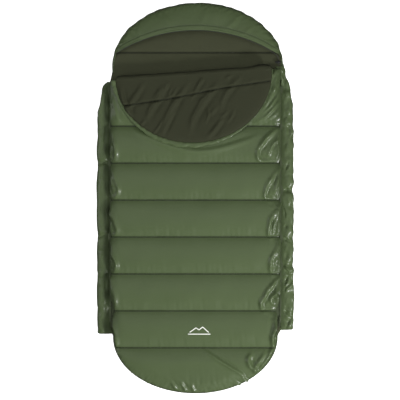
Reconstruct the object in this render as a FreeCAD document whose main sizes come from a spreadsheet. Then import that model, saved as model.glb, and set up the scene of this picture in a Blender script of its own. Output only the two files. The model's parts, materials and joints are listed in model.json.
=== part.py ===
import FreeCAD, Part
import math
import os

import Sketcher
from FreeCAD import Placement, Rotation, Vector

# A quilted bivy-style sleeping bag lying on the ground: a padded base, a padded cover that is zipped
# to it down both sides, the head end of the cover folded back as a flap, a peaked hood, and a soft
# side wing outside each zip. Millimetres. +Y runs to the hood, +Z up, origin on the ground at the middle.

doc = FreeCAD.newDocument("bivy_sack")

# ---------------------------------------------------------------- driving dimensions

SIZES = [
    ("bag_length", 2100, "foot to top of the hood"),
    ("bag_half_width", 470, "middle to the side of the base, wings left out"),
    ("foot_half_width", 450, "middle to the side of the foot"),
    ("hood_depth", 342, "length of the rounded head end"),
    ("foot_depth", 303, "length of the rounded foot end"),
    ("fabric", 1, "modelled thickness of every cloth"),
    ("base_height", 38, "loft of the base"),
    ("lining_gap", 2, "air between the two linings"),
    ("cover_height", 44, "loft of the cover"),
    ("cover_half_width", 430, "middle to the side of the zipped part of the cover"),
    ("cover_hinge", 605, "middle of the bag to the quilting seam that the cover folds back on"),
    ("seam_gap", 0.5, "half the gap at that seam"),
    ("seam_pitch", 198, "from one quilting seam to the next"),
    ("groove_radius", 12, "round bottom of the channel that a quilting seam pulls in"),
    ("groove_rise", 8, "height of that circle's centre above the cloth"),
    ("flap_seam", 97, "flap, fold to its quilting seam"),
    ("fold_y", 660, "middle of the bag to the fold of the flap"),
    ("fold_tilt", 4.1, "turn of the fold about +Z, degrees"),
    ("flap_half_width", 430, "flap, along its fold"),
    ("flap_depth", 366, "flap, fold to hem"),
    ("flap_height", 22, "loft of the folded flap"),
    ("flap_gap", 1.5, "fold axis to the underside of the flap"),
    ("roll_clearance", 1.5, "air round the rolled fold"),
    ("fold_tongue", 12, "how far the cover runs on under the rolled fold"),
    ("hem_width", 26, "padded hem round the flap"),
    ("dome_half_width", 462, "hood dome, middle to side"),
    ("dome_rise", 66, "hood dome, base to crown"),
    ("hood_loft", 10, "wadding in the hood"),
    ("brim_radius", 821, "plan radius of the brim"),
    ("brim_apex", 900, "middle of the bag to the brim"),
    ("brim_reach", 425, "middle of the bag to each end of the brim hem"),
    ("hem_tube", 4, "outer radius of the brim hem"),
    ("hem_bore", 2.2, "inner radius of the brim hem"),
    ("cord_radius", 1.5, "elastic cord"),
    ("wing_root_x", 472, "middle to the line the wing is sewn on"),
    ("wing_root_z", 37, "height of that line"),
    ("wing_width", 56, "wing, root to edge"),
    ("wing_foot", 710, "middle of the bag to the foot end of the wings"),
    ("wing_head_left", 600, "middle of the bag to the head end of the left wing"),
    ("wing_head_right", 690, "middle of the bag to the head end of the right wing"),
    ("zip_x", 452, "middle to the centre line of each zip"),
    ("zip_head", 600, "middle of the bag to the head end of the zips"),
    ("zip_foot", 668, "middle of the bag to the foot end of the zips"),
    ("zip_gap", 1.6, "gap between the two tapes"),
    ("tape_z", 40.2, "underside of the tapes"),
    ("tape", 0.8, "thickness of a tape"),
    ("teeth_width", 2.6, "one row of teeth"),
    ("teeth_height", 2, "one row of teeth"),
    ("slider_plate", 1.2, "lower plate of the slider"),
    ("slider_play", 0.4, "air between the slider's plates and the zip"),
    ("slider_web", 6, "length of the web that joins the plates"),
    ("bail_width", 2.5, "bail over the slider"),
    ("bail_length", 16, "bail, along the zip"),
    ("bail_height", 5.5, "bail"),
    ("bail_wire", 2, "bail, thickness of its bars"),
    ("slider_park", 650, "middle of the bag to the parked sliders"),
    ("slider_length", 22, "slider, along the zip"),
    ("slider_width", 14, "slider, across the zip"),
    ("pull_length", 42, "pull tab, pivot to tip"),
    ("pull_width", 10, "pull tab"),
    ("pull_tab", 1.6, "thickness of the pull tab"),
    ("pull_taper", 3, "corners cut off its end"),
    ("pull_window", 4.8, "width of the hole in the pull, for the bail"),
    ("pull_window_end", 10, "pivot to the far end of that hole"),
    ("pull_bar", 0.8, "half the width of its crossbar"),
    ("pull_pivot_z", 46.6, "height of the pull's pivot"),
    ("badge_width", 120, "printed badge"),
    ("badge_height", 52, "printed badge"),
    ("badge_thickness", 0.8, "printed badge"),
    ("badge_corner", 10, "printed badge, corner radius"),
    ("badge_x", 20, "badge, middle of the bag to its centre"),
    ("badge_y", 712, "middle of the bag to the badge"),
    ("lock_x", 446, "cord lock"),
    ("lock_y", 730, "cord lock"),
    ("lock_z", 46, "cord lock"),
    ("lock_radius", 7, "cord lock body"),
    ("lock_length", 22, "cord lock body"),
    ("lock_bore", 5, "bore for the plunger"),
    ("lock_wall", 3, "closed end of the bore"),
    ("plunger_gap", 0.1, "running clearance of the plunger"),
    ("plunger_out", 6, "plunger, length outside the body"),
    ("spring_room", 5, "length of the spring at rest"),
    ("plunger_travel", 2.9, "how far the plunger is pressed"),
    ("cord_hole", 2, "radius of the holes that the cord runs through"),
    ("lock_offset", 1, "cord hole to the middle of the cord lock body"),
    ("stop_length", 5, "bottom stop of a zip"),
    ("stop_height", 3, "bottom stop of a zip"),
    ("tape_hem", 3, "sewn edge of the outer tape"),
]

sheet = doc.addObject("Spreadsheet::Sheet", "sizes")
for row, (alias, value, note) in enumerate(SIZES, start=1):
    sheet.set(f"A{row}", note)
    sheet.set(f"B{row}", str(value))
    sheet.setAlias(f"B{row}", alias)
doc.recompute()
SIZE = {alias: value for alias, value, _ in SIZES}

PARTS = []


def bind(obj, **expressions):
    """Binds properties to sums of cells. A double underscore in a keyword stands for a dot."""
    for path, text in expressions.items():
        words = text
        for alias in sorted(SIZE, key=len, reverse=True):
            words = words.replace(f"<{alias}>", f"sizes.{alias}")
        obj.setExpression(path.replace("__", "."), words)
    return obj


def place(obj, x="0", y="0", z="0"):
    """Binds an object's position."""
    return bind(obj, Placement__Base__x=x, Placement__Base__y=y, Placement__Base__z=z)


def part(obj, label):
    """Marks obj as a finished sub-part."""
    obj.Label = label
    PARTS.append(obj)
    return obj


# ---------------------------------------------------------------- building blocks


def box(name, x, y, z, length, width, height):
    """A bound box whose low corner is at x, y, z."""
    obj = bind(doc.addObject("Part::Box", name), Length=length, Width=width, Height=height)
    return place(obj, x, y, z)


def centred_box(name, half_width, y, z, width, height):
    """A bound box that is centred across the bag."""
    return box(name, f"-({half_width})", y, z, f"2*({half_width})", width, height)


def oval(name, half_width, depth, y, z, height):
    """A bound elliptical slab, centred across the bag."""
    edge = bind(doc.addObject("Part::Ellipse", f"{name}_edge"), MajorRadius=half_width, MinorRadius=depth)
    place(edge, "0", y, z)
    slab = doc.addObject("Part::Extrusion", name)
    slab.Base = edge
    slab.DirMode = "Custom"
    slab.Dir = Vector(0, 0, 1)
    slab.Solid = True
    return bind(slab, LengthFwd=height)


def rod(name, radius, length, direction, x="0", y="0", z="0"):
    """A bound cylinder along direction, starting at x, y, z."""
    obj = bind(doc.addObject("Part::Cylinder", name), Radius=radius, Height=length)
    obj.Placement = Placement(Vector(), Rotation(Vector(0, 0, 1), direction))
    return place(obj, x, y, z)


def fuse(name, *shapes):
    if len(shapes) == 1:
        return shapes[0]
    obj = doc.addObject("Part::MultiFuse", name)
    obj.Shapes = list(shapes)
    obj.Refine = True
    return obj


def cut(name, base, tool):
    obj = doc.addObject("Part::Cut", name)
    obj.Base, obj.Tool = base, tool
    return obj


def common(name, base, tool):
    obj = doc.addObject("Part::MultiCommon", name)
    obj.Shapes = [base, tool]
    return obj


def quilt(name, shape, rows, top, skin="0"):
    """Cuts a round channel across a shape at each seam row. A layer under the cloth leaves room for it."""
    tools = [
        rod(
            f"{name}_groove{n}",
            f"<groove_radius>+{skin}",
            "3*<bag_half_width>",
            Vector(1, 0, 0),
            "-1.5*<bag_half_width>",
            row,
            f"{top}+<groove_rise>",
        )
        for n, row in enumerate(rows)
    ]
    return cut(f"{name}_quilted", shape, fuse(f"{name}_grooves", *tools))


# ---------------------------------------------------------------- base and foot

HEAD_CENTRE = "<bag_length>/2-<hood_depth>"
FOOT_CENTRE = "<foot_depth>-<bag_length>/2"
BASE_TOP = "<base_height>"
COVER_LOW = "<base_height>+<lining_gap>"
COVER_TOP = "<base_height>+<lining_gap>+<cover_height>"
PILLOW_SEAM = ["7*<seam_pitch>-<cover_hinge>"]
COVER_SEAMS = [f"{n}*<seam_pitch>-<cover_hinge>" for n in range(1, 7)]
FOOT_SEAM = ["-<seam_pitch>-<cover_hinge>"]


def base_plan(name, inset, z, height):
    """The plan of the base, drawn in by inset, as a slab."""
    return fuse(
        name,
        oval(f"{name}_head", f"<bag_half_width>-{inset}", f"<hood_depth>-{inset}", HEAD_CENTRE, z, height),
        centred_box(
            f"{name}_middle",
            f"<bag_half_width>-{inset}",
            f"{inset}-<wing_foot>",
            z,
            f"{HEAD_CENTRE}+<wing_foot>-{inset}",
            height,
        ),
        foot_end(name, inset, z, height),
    )


def foot_end(name, inset, z, height):
    """The rounded foot, up to the line where the wings end."""
    slab = oval(f"{name}_toe", f"<foot_half_width>-{inset}", f"<foot_depth>-{inset}", FOOT_CENTRE, z, height)
    room = centred_box(
        f"{name}_toe_room", "<bag_half_width>", "-<bag_length>/2-1", z, f"<foot_depth>+1", height
    )
    return fuse(
        f"{name}_foot",
        common(f"{name}_toe_half", slab, room),
        centred_box(
            f"{name}_ankle",
            f"<foot_half_width>-{inset}",
            FOOT_CENTRE,
            z,
            f"{inset}-<wing_foot>-({FOOT_CENTRE})",
            height,
        ),
    )


def foot_plan(name, inset, z, height):
    """The part of the cover that is sewn to the base, from the toe to the fold-back seam."""
    return fuse(
        name,
        foot_end(name, inset, z, height),
        centred_box(
            f"{name}_shin",
            f"<cover_half_width>-{inset}",
            f"-<wing_foot>-{inset}",
            z,
            "<wing_foot>-<cover_hinge>-<seam_gap>",
            height,
        ),
    )


def build_base():
    tray = base_plan("base_tray", "0", "0", BASE_TOP)
    hollow = base_plan("base_hollow", "<fabric>", "<fabric>", BASE_TOP)
    part(cut("base_outer", tray, hollow), "base_outer")
    fill = base_plan("base_fill", "<fabric>", "<fabric>", "<base_height>-<fabric>")
    core = base_plan("base_core", "<fabric>", "<fabric>", "<base_height>-2*<fabric>")
    wadding = quilt("base_core", core, PILLOW_SEAM, BASE_TOP, "<fabric>")
    part(wadding, "base_wadding")
    part(cut("base_lining", quilt("base_fill", fill, PILLOW_SEAM, BASE_TOP), wadding), "base_lining")


def build_foot():
    block = foot_plan("foot_block", "0", BASE_TOP, "<lining_gap>+<cover_height>")
    hollow = foot_plan("foot_hollow", "<fabric>", f"{BASE_TOP}-<fabric>", "<lining_gap>+<cover_height>")
    block = quilt("foot_block", block, FOOT_SEAM, COVER_TOP)
    hollow = quilt("foot_hollow", hollow, FOOT_SEAM, COVER_TOP, "<fabric>")
    part(cut("foot_outer", block, hollow), "foot_outer")
    core = foot_plan("foot_core", "<fabric>", f"{COVER_LOW}+<fabric>", "<cover_height>-2*<fabric>")
    part(quilt("foot_core", core, FOOT_SEAM, COVER_TOP, "<fabric>"), "foot_wadding")
    part(foot_plan("foot_lining", "<fabric>", COVER_LOW, "<fabric>"), "foot_lining")


def build_badge():
    """A thin print on the foot, with rounded corners."""
    body = doc.addObject("PartDesign::Body", "badge")
    sketch = plane_sketch(body, "badge_sketch", "XY_Plane")
    rectangle(sketch, "<badge_width>", "<badge_height>")
    pad = body.newObject("PartDesign::Pad", "badge_pad")
    pad.Profile = sketch
    bind(pad, Length="<badge_thickness>")
    doc.recompute()
    corners = body.newObject("PartDesign::Fillet", "badge_corners")
    corners.Base = (pad, upright_edges(pad.Shape))
    bind(corners, Radius="<badge_corner>")
    place(body, "<badge_x>", "-<badge_y>", COVER_TOP)
    part(body, "front_badge")


# ---------------------------------------------------------------- sketch helpers


def plane_sketch(body, name, role):
    """A sketch on one of the body's own origin planes."""
    sketch = body.newObject("Sketcher::SketchObject", name)
    plane = next(f for f in body.Origin.OriginFeatures if f.Role == role)
    sketch.AttachmentSupport = (plane, [""])
    sketch.MapMode = "FlatFace"
    return sketch


def pin(sketch, curve, end, label, x, y):
    """Fixes an end of a curve at cell sums x, y from the sketch's origin."""
    where = sketch.Geometry[curve].StartPoint if end == 1 else sketch.Geometry[curve].EndPoint
    for kind, text, now in (("DistanceX", x, where.x), ("DistanceY", y, where.y)):
        index = sketch.addConstraint(Sketcher.Constraint(kind, -1, 1, curve, end, now))
        sketch.renameConstraint(index, f"{label}_{kind[-1]}")
        bind(sketch, **{f"Constraints__{label}_{kind[-1]}": text})


def worked(text):
    """The value of a cell sum."""
    for alias in sorted(SIZE, key=len, reverse=True):
        text = text.replace(f"<{alias}>", str(SIZE[alias]))
    return float(FreeCAD.Units.Quantity(text).Value)


def outline(sketch, points):
    """A closed run of straight lines through points, each a pair of cell sums."""
    spots = [Vector(worked(x), worked(y), 0) for x, y in points]
    for n, spot in enumerate(spots):
        sketch.addGeometry(Part.LineSegment(spot, spots[(n + 1) % len(spots)]), False)
    for n, (x, y) in enumerate(points):
        sketch.addConstraint(Sketcher.Constraint("Coincident", n, 2, (n + 1) % len(points), 1))
        pin(sketch, n, 1, f"corner{n}", x, y)


def rectangle(sketch, width, height):
    outline(
        sketch,
        [
            (f"-{width}/2", f"-{height}/2"),
            (f"{width}/2", f"-{height}/2"),
            (f"{width}/2", f"{height}/2"),
            (f"-{width}/2", f"{height}/2"),
        ],
    )


def upright_edges(shape):
    """Names of the straight edges along Z."""
    names = []
    for n, edge in enumerate(shape.Edges, start=1):
        ends = [vertex.Point for vertex in edge.Vertexes]
        if len(ends) == 2 and (ends[1] - ends[0]).cross(Vector(0, 0, 1)).Length < 1e-9:
            names.append(f"Edge{n}")
    return names


# ---------------------------------------------------------------- cover


def cover_plan(name, inset, z, height):
    """The zipped part of the cover, run on past the fold."""
    return centred_box(
        name,
        f"<cover_half_width>-{inset}",
        f"<seam_gap>+{inset}-<cover_hinge>",
        z,
        f"<cover_hinge>-<seam_gap>-{inset}+<fold_y>+3*<fold_tongue>",
        height,
    )


def fold_cutter(name):
    """What the cover leaves free at its head end: the rolled fold, and all beyond the tongue."""
    roll = rod(
        f"{name}_roll",
        "<flap_gap>+<flap_height>+<roll_clearance>",
        "3*<bag_half_width>",
        Vector(1, 0, 0),
        "-1.5*<bag_half_width>",
    )
    beyond = box(
        f"{name}_beyond",
        "-1.5*<bag_half_width>",
        "<fold_tongue>",
        "-2*<cover_height>",
        "3*<bag_half_width>",
        "10*<fold_tongue>",
        "4*<cover_height>",
    )
    return in_fold_frame(fuse(name, roll, beyond))


def in_fold_frame(obj):
    """Moves a shape drawn about the origin to the fold: x along the fold axis, y to the head."""
    obj.Placement = Placement(Vector(), Rotation(Vector(0, 0, 1), SIZE["fold_tilt"]))
    bind(obj, Placement__Rotation__Angle="<fold_tilt>*1deg")
    return place(obj, "0", "<fold_y>", f"{COVER_TOP}+<flap_gap>")


def build_cover():
    block = cover_plan("cover_block", "0", COVER_LOW, "<cover_height>")
    hollow = cover_plan("cover_hollow", "<fabric>", COVER_LOW, "<cover_height>-<fabric>")
    block = quilt("cover_block", block, COVER_SEAMS, COVER_TOP)
    hollow = quilt("cover_hollow", hollow, COVER_SEAMS, COVER_TOP, "<fabric>")
    shell = cut("cover_shell", block, hollow)
    part(cut("cover_outer", shell, fold_cutter("outer_cutter")), "cover_outer")
    fill = cover_plan("cover_fill", "<fabric>", f"{COVER_LOW}+<fabric>", "<cover_height>-2*<fabric>")
    fill = quilt("cover_fill", fill, COVER_SEAMS, COVER_TOP, "<fabric>")
    part(cut("cover_wadding", fill, fold_cutter("wadding_cutter")), "cover_wadding")
    sheet_low = cover_plan("cover_sheet", "<fabric>", COVER_LOW, "<fabric>")
    part(cut("cover_lining", sheet_low, fold_cutter("lining_cutter")), "cover_lining")


# ---------------------------------------------------------------- flap, drawn about its fold axis

FLAP_LOW = "<flap_gap>"
FLAP_HIGH = "<flap_gap>+<flap_height>"


def half_oval(name, grow, z, height):
    """The plan of the flap, which lies on the foot side of its fold."""
    slab = oval(f"{name}_oval", f"<flap_half_width>+{grow}", f"<flap_depth>+{grow}", "0", z, height)
    return common(name, slab, footward_box(f"{name}_half", f"{z}-1", f"{height}+2"))


def footward_box(name, z, height):
    """Room on the foot side of the fold."""
    return centred_box(name, "2*<flap_half_width>", "-2*<flap_depth>", z, "2*<flap_depth>", height)


def below_flap(name):
    """Room on the foot side of the fold, up to the top of the flap's lower cloth."""
    return footward_box(name, "-2*<flap_height>", f"2*<flap_height>+{FLAP_LOW}+<fabric>")


def headward_box(name):
    """Room on the head side of the fold."""
    reach = f"2*({FLAP_HIGH})"
    return centred_box(name, "2*<flap_half_width>", "0", f"-{reach}", reach, f"2*{reach}")


def roll(name, radius):
    return rod(name, radius, "2*<flap_half_width>-2", Vector(1, 0, 0), "1-<flap_half_width>")


def roll_skin(name):
    return cut(name, roll(f"{name}_out", FLAP_HIGH), roll(f"{name}_in", f"{FLAP_HIGH}-<fabric>"))


def build_flap():
    under = half_oval("flap_under", "0", FLAP_LOW, "<fabric>")
    under = cut("flap_under_open", under, roll("flap_under_roll", f"{FLAP_HIGH}-<fabric>"))
    low_skin = common("roll_low_skin", roll_skin("skin_a"), below_flap("low_side"))
    part(in_fold_frame(fuse("flap_outer", under, low_skin)), "flap_outer")

    fill = half_oval("flap_fill", "0", f"{FLAP_LOW}+<fabric>", "<flap_height>-2*<fabric>")
    fill = quilt("flap_fill", fill, ["-<flap_seam>"], FLAP_HIGH, "<fabric>")
    head_core = common("roll_head_core", roll("core_a", f"{FLAP_HIGH}-<fabric>"), headward_box("head_room"))
    low_core = common("roll_low_core", roll("core_b", f"{FLAP_HIGH}-<fabric>"), below_flap("low_room"))
    part(in_fold_frame(fuse("flap_wadding", fill, head_core, low_core)), "flap_wadding")

    top = half_oval("flap_top", "0", f"{FLAP_LOW}+<fabric>", "<flap_height>-<fabric>")
    top = cut("flap_top_skin", quilt("flap_top", top, ["-<flap_seam>"], FLAP_HIGH), fill)
    head_skin = common("roll_head_skin", roll_skin("skin_b"), headward_box("head_side"))
    part(in_fold_frame(fuse("flap_lining", top, head_skin)), "flap_lining")

    wide = half_oval("hem_wide", "<hem_width>", FLAP_LOW, "<flap_height>")
    inner = half_oval("hem_inner", "0", f"{FLAP_LOW}-1", "<flap_height>+2")
    part(in_fold_frame(cut("flap_hem", wide, inner)), "flap_hem")


# ---------------------------------------------------------------- hood


def dome(name, inset):
    """An ellipsoid on the head end of the base, drawn in by inset."""
    obj = bind(
        doc.addObject("Part::Ellipsoid", name),
        Radius1=f"<dome_rise>-({inset})",
        Radius2=f"<dome_half_width>-({inset})",
        Radius3=f"<hood_depth>-({inset})",
    )
    return place(obj, "0", HEAD_CENTRE, BASE_TOP)


def hood_layer(name, outside, inside):
    """A layer of the dome between two insets, above the base and behind the brim."""
    layer = cut(f"{name}_layer", dome(f"{name}_out", outside), dome(f"{name}_in", inside))
    length, up = "<bag_length>", Vector(0, 0, 1)
    room = centred_box(f"{name}_room", "<bag_half_width>", "<bag_half_width>", BASE_TOP, length, length)
    brim = rod(f"{name}_brim", "<brim_radius>", length, up, "0", "<brim_apex>-<brim_radius>")
    return part(common(name, layer, cut(f"{name}_behind", room, brim)), name)


def brim_points():
    """Points along the brim, from left to right, in the middle of the hood's thickness."""
    inset = (2 * SIZE["fabric"] + SIZE["hood_loft"]) / 2
    half, depth, rise = (SIZE[s] - inset for s in ("dome_half_width", "hood_depth", "dome_rise"))
    radius = SIZE["brim_radius"] - SIZE["hem_tube"] - SIZE["plunger_gap"]
    centre_y = SIZE["brim_apex"] - SIZE["brim_radius"]
    head_y = SIZE["bag_length"] / 2 - SIZE["hood_depth"]
    end = math.asin(SIZE["brim_reach"] / radius)
    points = []
    for n in range(-6, 7):
        angle = end * n / 6
        x, y = radius * math.sin(angle), centre_y + radius * math.cos(angle)
        height = rise * math.sqrt(1 - (x / half) ** 2 - ((y - head_y) / depth) ** 2)
        points.append(Vector(x, y, SIZE["base_height"] + height))
    return points


def pipe(points, radius):
    """A round solid along a smooth curve through points."""
    curve = Part.BSplineCurve()
    curve.interpolate(points)
    start = curve.parameter(points[0])
    ring = Part.Circle(points[0], curve.tangent(start)[0], radius)
    profile = Part.Wire([ring.toShape()])
    return Part.Wire([curve.toShape()]).makePipeShell([profile], True, True)


def feature(name, shape):
    obj = doc.addObject("Part::Feature", name)
    obj.Shape = shape
    obj.Placement = Placement()
    return part(obj, name)


def build_hood():
    hood_layer("hood_outer", "0", "<fabric>")
    hood_layer("hood_wadding", "<fabric>", "<fabric>+<hood_loft>")
    hood_layer("hood_lining", "<fabric>+<hood_loft>", "2*<fabric>+<hood_loft>")
    brim = brim_points()
    tube = pipe(brim, SIZE["hem_tube"]).cut(pipe(brim, SIZE["hem_bore"]))
    feature("hood_brim_hem", tube)
    lock = Vector(SIZE["lock_x"], SIZE["lock_y"], SIZE["lock_z"])
    # From the end of the brim the cord bends down and runs straight through the cord lock.
    tail = [lock + step for step in (Vector(-5, 32, 4), *(Vector(0, y, 0) for y in (15, 0, -15, -26)))]
    cord = pipe(brim + tail, SIZE["cord_radius"])
    knot = Part.makeSphere(2.5 * SIZE["cord_radius"], tail[-1])
    feature("hood_drawcord", cord.fuse(knot))


# ---------------------------------------------------------------- cord lock, drawn along X


def build_cord_lock():
    axis = Vector(1, 0, 0)
    start = "<lock_offset>-<lock_length>/2"
    body = rod("lock_barrel", "<lock_radius>", "<lock_length>", axis, start)
    bore = rod("lock_bore_tool", "<lock_bore>", "<lock_length>", axis, f"{start}-<lock_wall>")
    hole = rod("lock_hole", "<cord_hole>", "4*<lock_radius>", Vector(0, 1, 0), "0", "-2*<lock_radius>")
    lock = cut("cord_lock_body", body, fuse("lock_tools", bore, hole))
    part(place(lock, "<lock_x>", "<lock_y>", "<lock_z>"), "cord_lock_body")

    stem_start = f"{start}-<plunger_out>"
    stem_length = "<plunger_out>+<lock_length>-<lock_wall>-<spring_room>"
    stem = rod("plunger_stem", "<lock_bore>-<plunger_gap>", stem_length, axis, stem_start)
    slot_ends = [
        rod(f"slot_end{n}", "<cord_hole>", "4*<lock_radius>", Vector(0, 1, 0), x, "-2*<lock_radius>")
        for n, x in enumerate(("-<plunger_travel>", "0"))
    ]
    slot_middle = box(
        "slot_middle",
        "-<plunger_travel>",
        "-2*<lock_radius>",
        "-<cord_hole>",
        "<plunger_travel>",
        "4*<lock_radius>",
        "2*<cord_hole>",
    )
    plunger = cut("cord_lock_plunger", stem, fuse("slot_tool", *slot_ends, slot_middle))
    part(place(plunger, "<lock_x>", "<lock_y>", "<lock_z>"), "cord_lock_plunger")

    part(lock_spring(axis), "cord_lock_spring")


def lock_spring(axis):
    """A short open coil between the plunger and the closed end of the bore."""
    wire, turns, play = 0.3, 2.5, 0.1
    room = SIZE["spring_room"] - 2 * (wire + play)
    coil_radius = SIZE["lock_bore"] - 4 * wire
    helix = Part.makeHelix(room / turns, room, coil_radius)
    ring = Part.Wire([Part.Circle(Vector(coil_radius, 0, 0), Vector(0, 1, 0), wire).toShape()])
    spring = helix.makePipeShell([ring], True, True)
    far_end = SIZE["lock_x"] + SIZE["lock_offset"] + SIZE["lock_length"] / 2 - SIZE["lock_wall"]
    near_end = Vector(far_end - SIZE["spring_room"] + wire + play, SIZE["lock_y"], SIZE["lock_z"])
    obj = doc.addObject("Part::Feature", "spring_coil")
    obj.Shape = spring
    obj.Placement = Placement(near_end, Rotation(Vector(0, 0, 1), axis))
    return obj


# ---------------------------------------------------------------- side wings

# The section of a wing from its sewn root: out along the top, down to the ground, and back to the root.
WING_SECTION = [
    ("0", "0"),
    ("<wing_width>*0.20", "1.5"),
    ("<wing_width>*0.50", "2"),
    ("<wing_width>*0.80", "-3"),
    ("<wing_width>", "-15"),
    ("<wing_width>*0.95", "-28"),
    ("<wing_width>*0.78", "1-<wing_root_z>"),
    ("<wing_width>*0.42", "1-<wing_root_z>"),
    ("<wing_width>*0.20", "-22"),
]
WING_CORE = [
    ("<wing_width>*0.10", "-4"),
    ("<wing_width>*0.50", "0.5"),
    ("<wing_width>*0.78", "-5"),
    ("<wing_width>-<fabric>*1.5", "-15.5"),
    ("<wing_width>*0.92", "-27"),
    ("<wing_width>*0.76", "2.5-<wing_root_z>"),
    ("<wing_width>*0.45", "2.5-<wing_root_z>"),
    ("<wing_width>*0.24", "-21"),
]


def section_bar(name, section, length, side):
    """A PartDesign body: a section in the XZ plane padded evenly to both sides."""
    body = doc.addObject("PartDesign::Body", name)
    sketch = plane_sketch(body, f"{name}_sketch", "XZ_Plane")
    outline(sketch, [(f"{side}*({x})", y) for x, y in section])
    pad = body.newObject("PartDesign::Pad", f"{name}_pad")
    pad.Profile = sketch
    pad.Midplane = True
    bind(pad, Length=length)
    return body


def build_wing(side, word):
    length = f"(<wing_head_{word}>+<wing_foot>)"
    middle = f"(<wing_head_{word}>-<wing_foot>)/2"
    where = (f"{side}*<wing_root_x>", middle, "<wing_root_z>")
    skin = place(section_bar(f"{word}_wing_skin", WING_SECTION, length, side), *where)
    hollow = place(section_bar(f"{word}_wing_hollow", WING_CORE, f"{length}-2*<fabric>", side), *where)
    part(cut(f"{word}_wing_outer", skin, hollow), f"{word}_wing_outer")
    core = place(section_bar(f"{word}_wing_wadding", WING_CORE, f"{length}-2*<fabric>", side), *where)
    part(core, f"{word}_wing_wadding")


# ---------------------------------------------------------------- zips

TEETH_Z = "<tape_z>+<tape>"


def strip(name, side, near, far, y, z, length, height):
    """A strip along the zip between two distances from the middle of the bag."""
    low = f"{near}" if side > 0 else f"-({far})"
    return box(name, low, y, z, f"({far})-({near})", length, height)


def build_zip(side, word):
    inner, outer = "<zip_x>-<zip_gap>/2", "<zip_x>+<zip_gap>/2"
    whole = "<zip_head>+<zip_foot>"
    moving = "<zip_head>+<cover_hinge>-<seam_gap>"
    fixed = "<zip_foot>-<cover_hinge>-<seam_gap>"
    moving_y = "<seam_gap>-<cover_hinge>"

    flat = strip(
        f"{word}_tape_flat",
        side,
        outer,
        "<bag_half_width>",
        "-<zip_foot>",
        "<tape_z>",
        whole,
        "<tape>",
    )
    foot = strip(
        f"{word}_tape_foot_strip",
        side,
        "<bag_half_width>-<tape_hem>",
        "<bag_half_width>",
        "-<zip_foot>",
        BASE_TOP,
        whole,
        f"<tape_z>-{BASE_TOP}",
    )
    part(fuse(f"{word}_zip_tape_base", flat, foot), f"{word}_zip_tape_base")
    for label, y, length in (("cover", moving_y, moving), ("foot", "-<zip_foot>", fixed)):
        tape_name = f"{word}_zip_tape_{label}"
        tape = strip(tape_name, side, "<cover_half_width>", inner, y, "<tape_z>", length, "<tape>")
        part(tape, tape_name)
        part(
            strip(
                f"{word}_zip_teeth_{label}",
                side,
                f"{inner}-<teeth_width>",
                inner,
                y,
                TEETH_Z,
                length,
                "<teeth_height>",
            ),
            f"{word}_zip_teeth_{label}",
        )
    part(
        strip(
            f"{word}_zip_teeth_base",
            side,
            outer,
            f"{outer}+<teeth_width>",
            "-<zip_foot>",
            TEETH_Z,
            whole,
            "<teeth_height>",
        ),
        f"{word}_zip_teeth_base",
    )
    stop = strip(
        f"{word}_zip_bottom_stop",
        side,
        f"{inner}-<teeth_width>",
        f"{outer}+<teeth_width>",
        "-<zip_foot>-<stop_length>",
        "<tape_z>",
        "<stop_length>",
        "<stop_height>",
    )
    part(stop, f"{word}_zip_bottom_stop")


def build_slider(side, word):
    """Two plates joined by a thin web at the nose, and a bail over the top."""
    half_width, half_length = "<slider_width>/2", "<slider_length>/2"

    def plate(label, z, height):
        name = f"{word}_slider_{label}"
        return centred_box(name, half_width, f"-{half_length}", z, "<slider_length>", height)

    low_z = "<tape_z>-<slider_play>-<slider_plate>"
    high_z = f"{TEETH_Z}+<teeth_height>+<slider_play>"
    low = plate("low", low_z, "<slider_plate>")
    high = plate("high", high_z, "<slider_plate>")
    web_height = f"{high_z}-({low_z})+<slider_plate>"
    web = box(
        f"{word}_slider_web",
        "-<slider_plate>/2",
        f"{half_length}-<slider_web>",
        low_z,
        "<slider_plate>",
        "<slider_web>",
        web_height,
    )
    bail_z = f"{high_z}+<slider_plate>"
    bail = box(
        f"{word}_bail_block",
        "-<bail_width>/2",
        "-<bail_length>/2",
        bail_z,
        "<bail_width>",
        "<bail_length>",
        "<bail_height>",
    )
    opening = box(
        f"{word}_bail_opening",
        "-<bail_width>",
        "<bail_wire>-<bail_length>/2",
        bail_z,
        "2*<bail_width>",
        "<bail_length>-2*<bail_wire>",
        "<bail_height>-<bail_wire>",
    )
    ring = cut(f"{word}_bail", bail, opening)
    slider = fuse(f"{word}_zip_slider", low, high, web, ring)
    part(place(slider, f"{side}*<zip_x>", "-<slider_park>", "0"), f"{word}_zip_slider")


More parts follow.
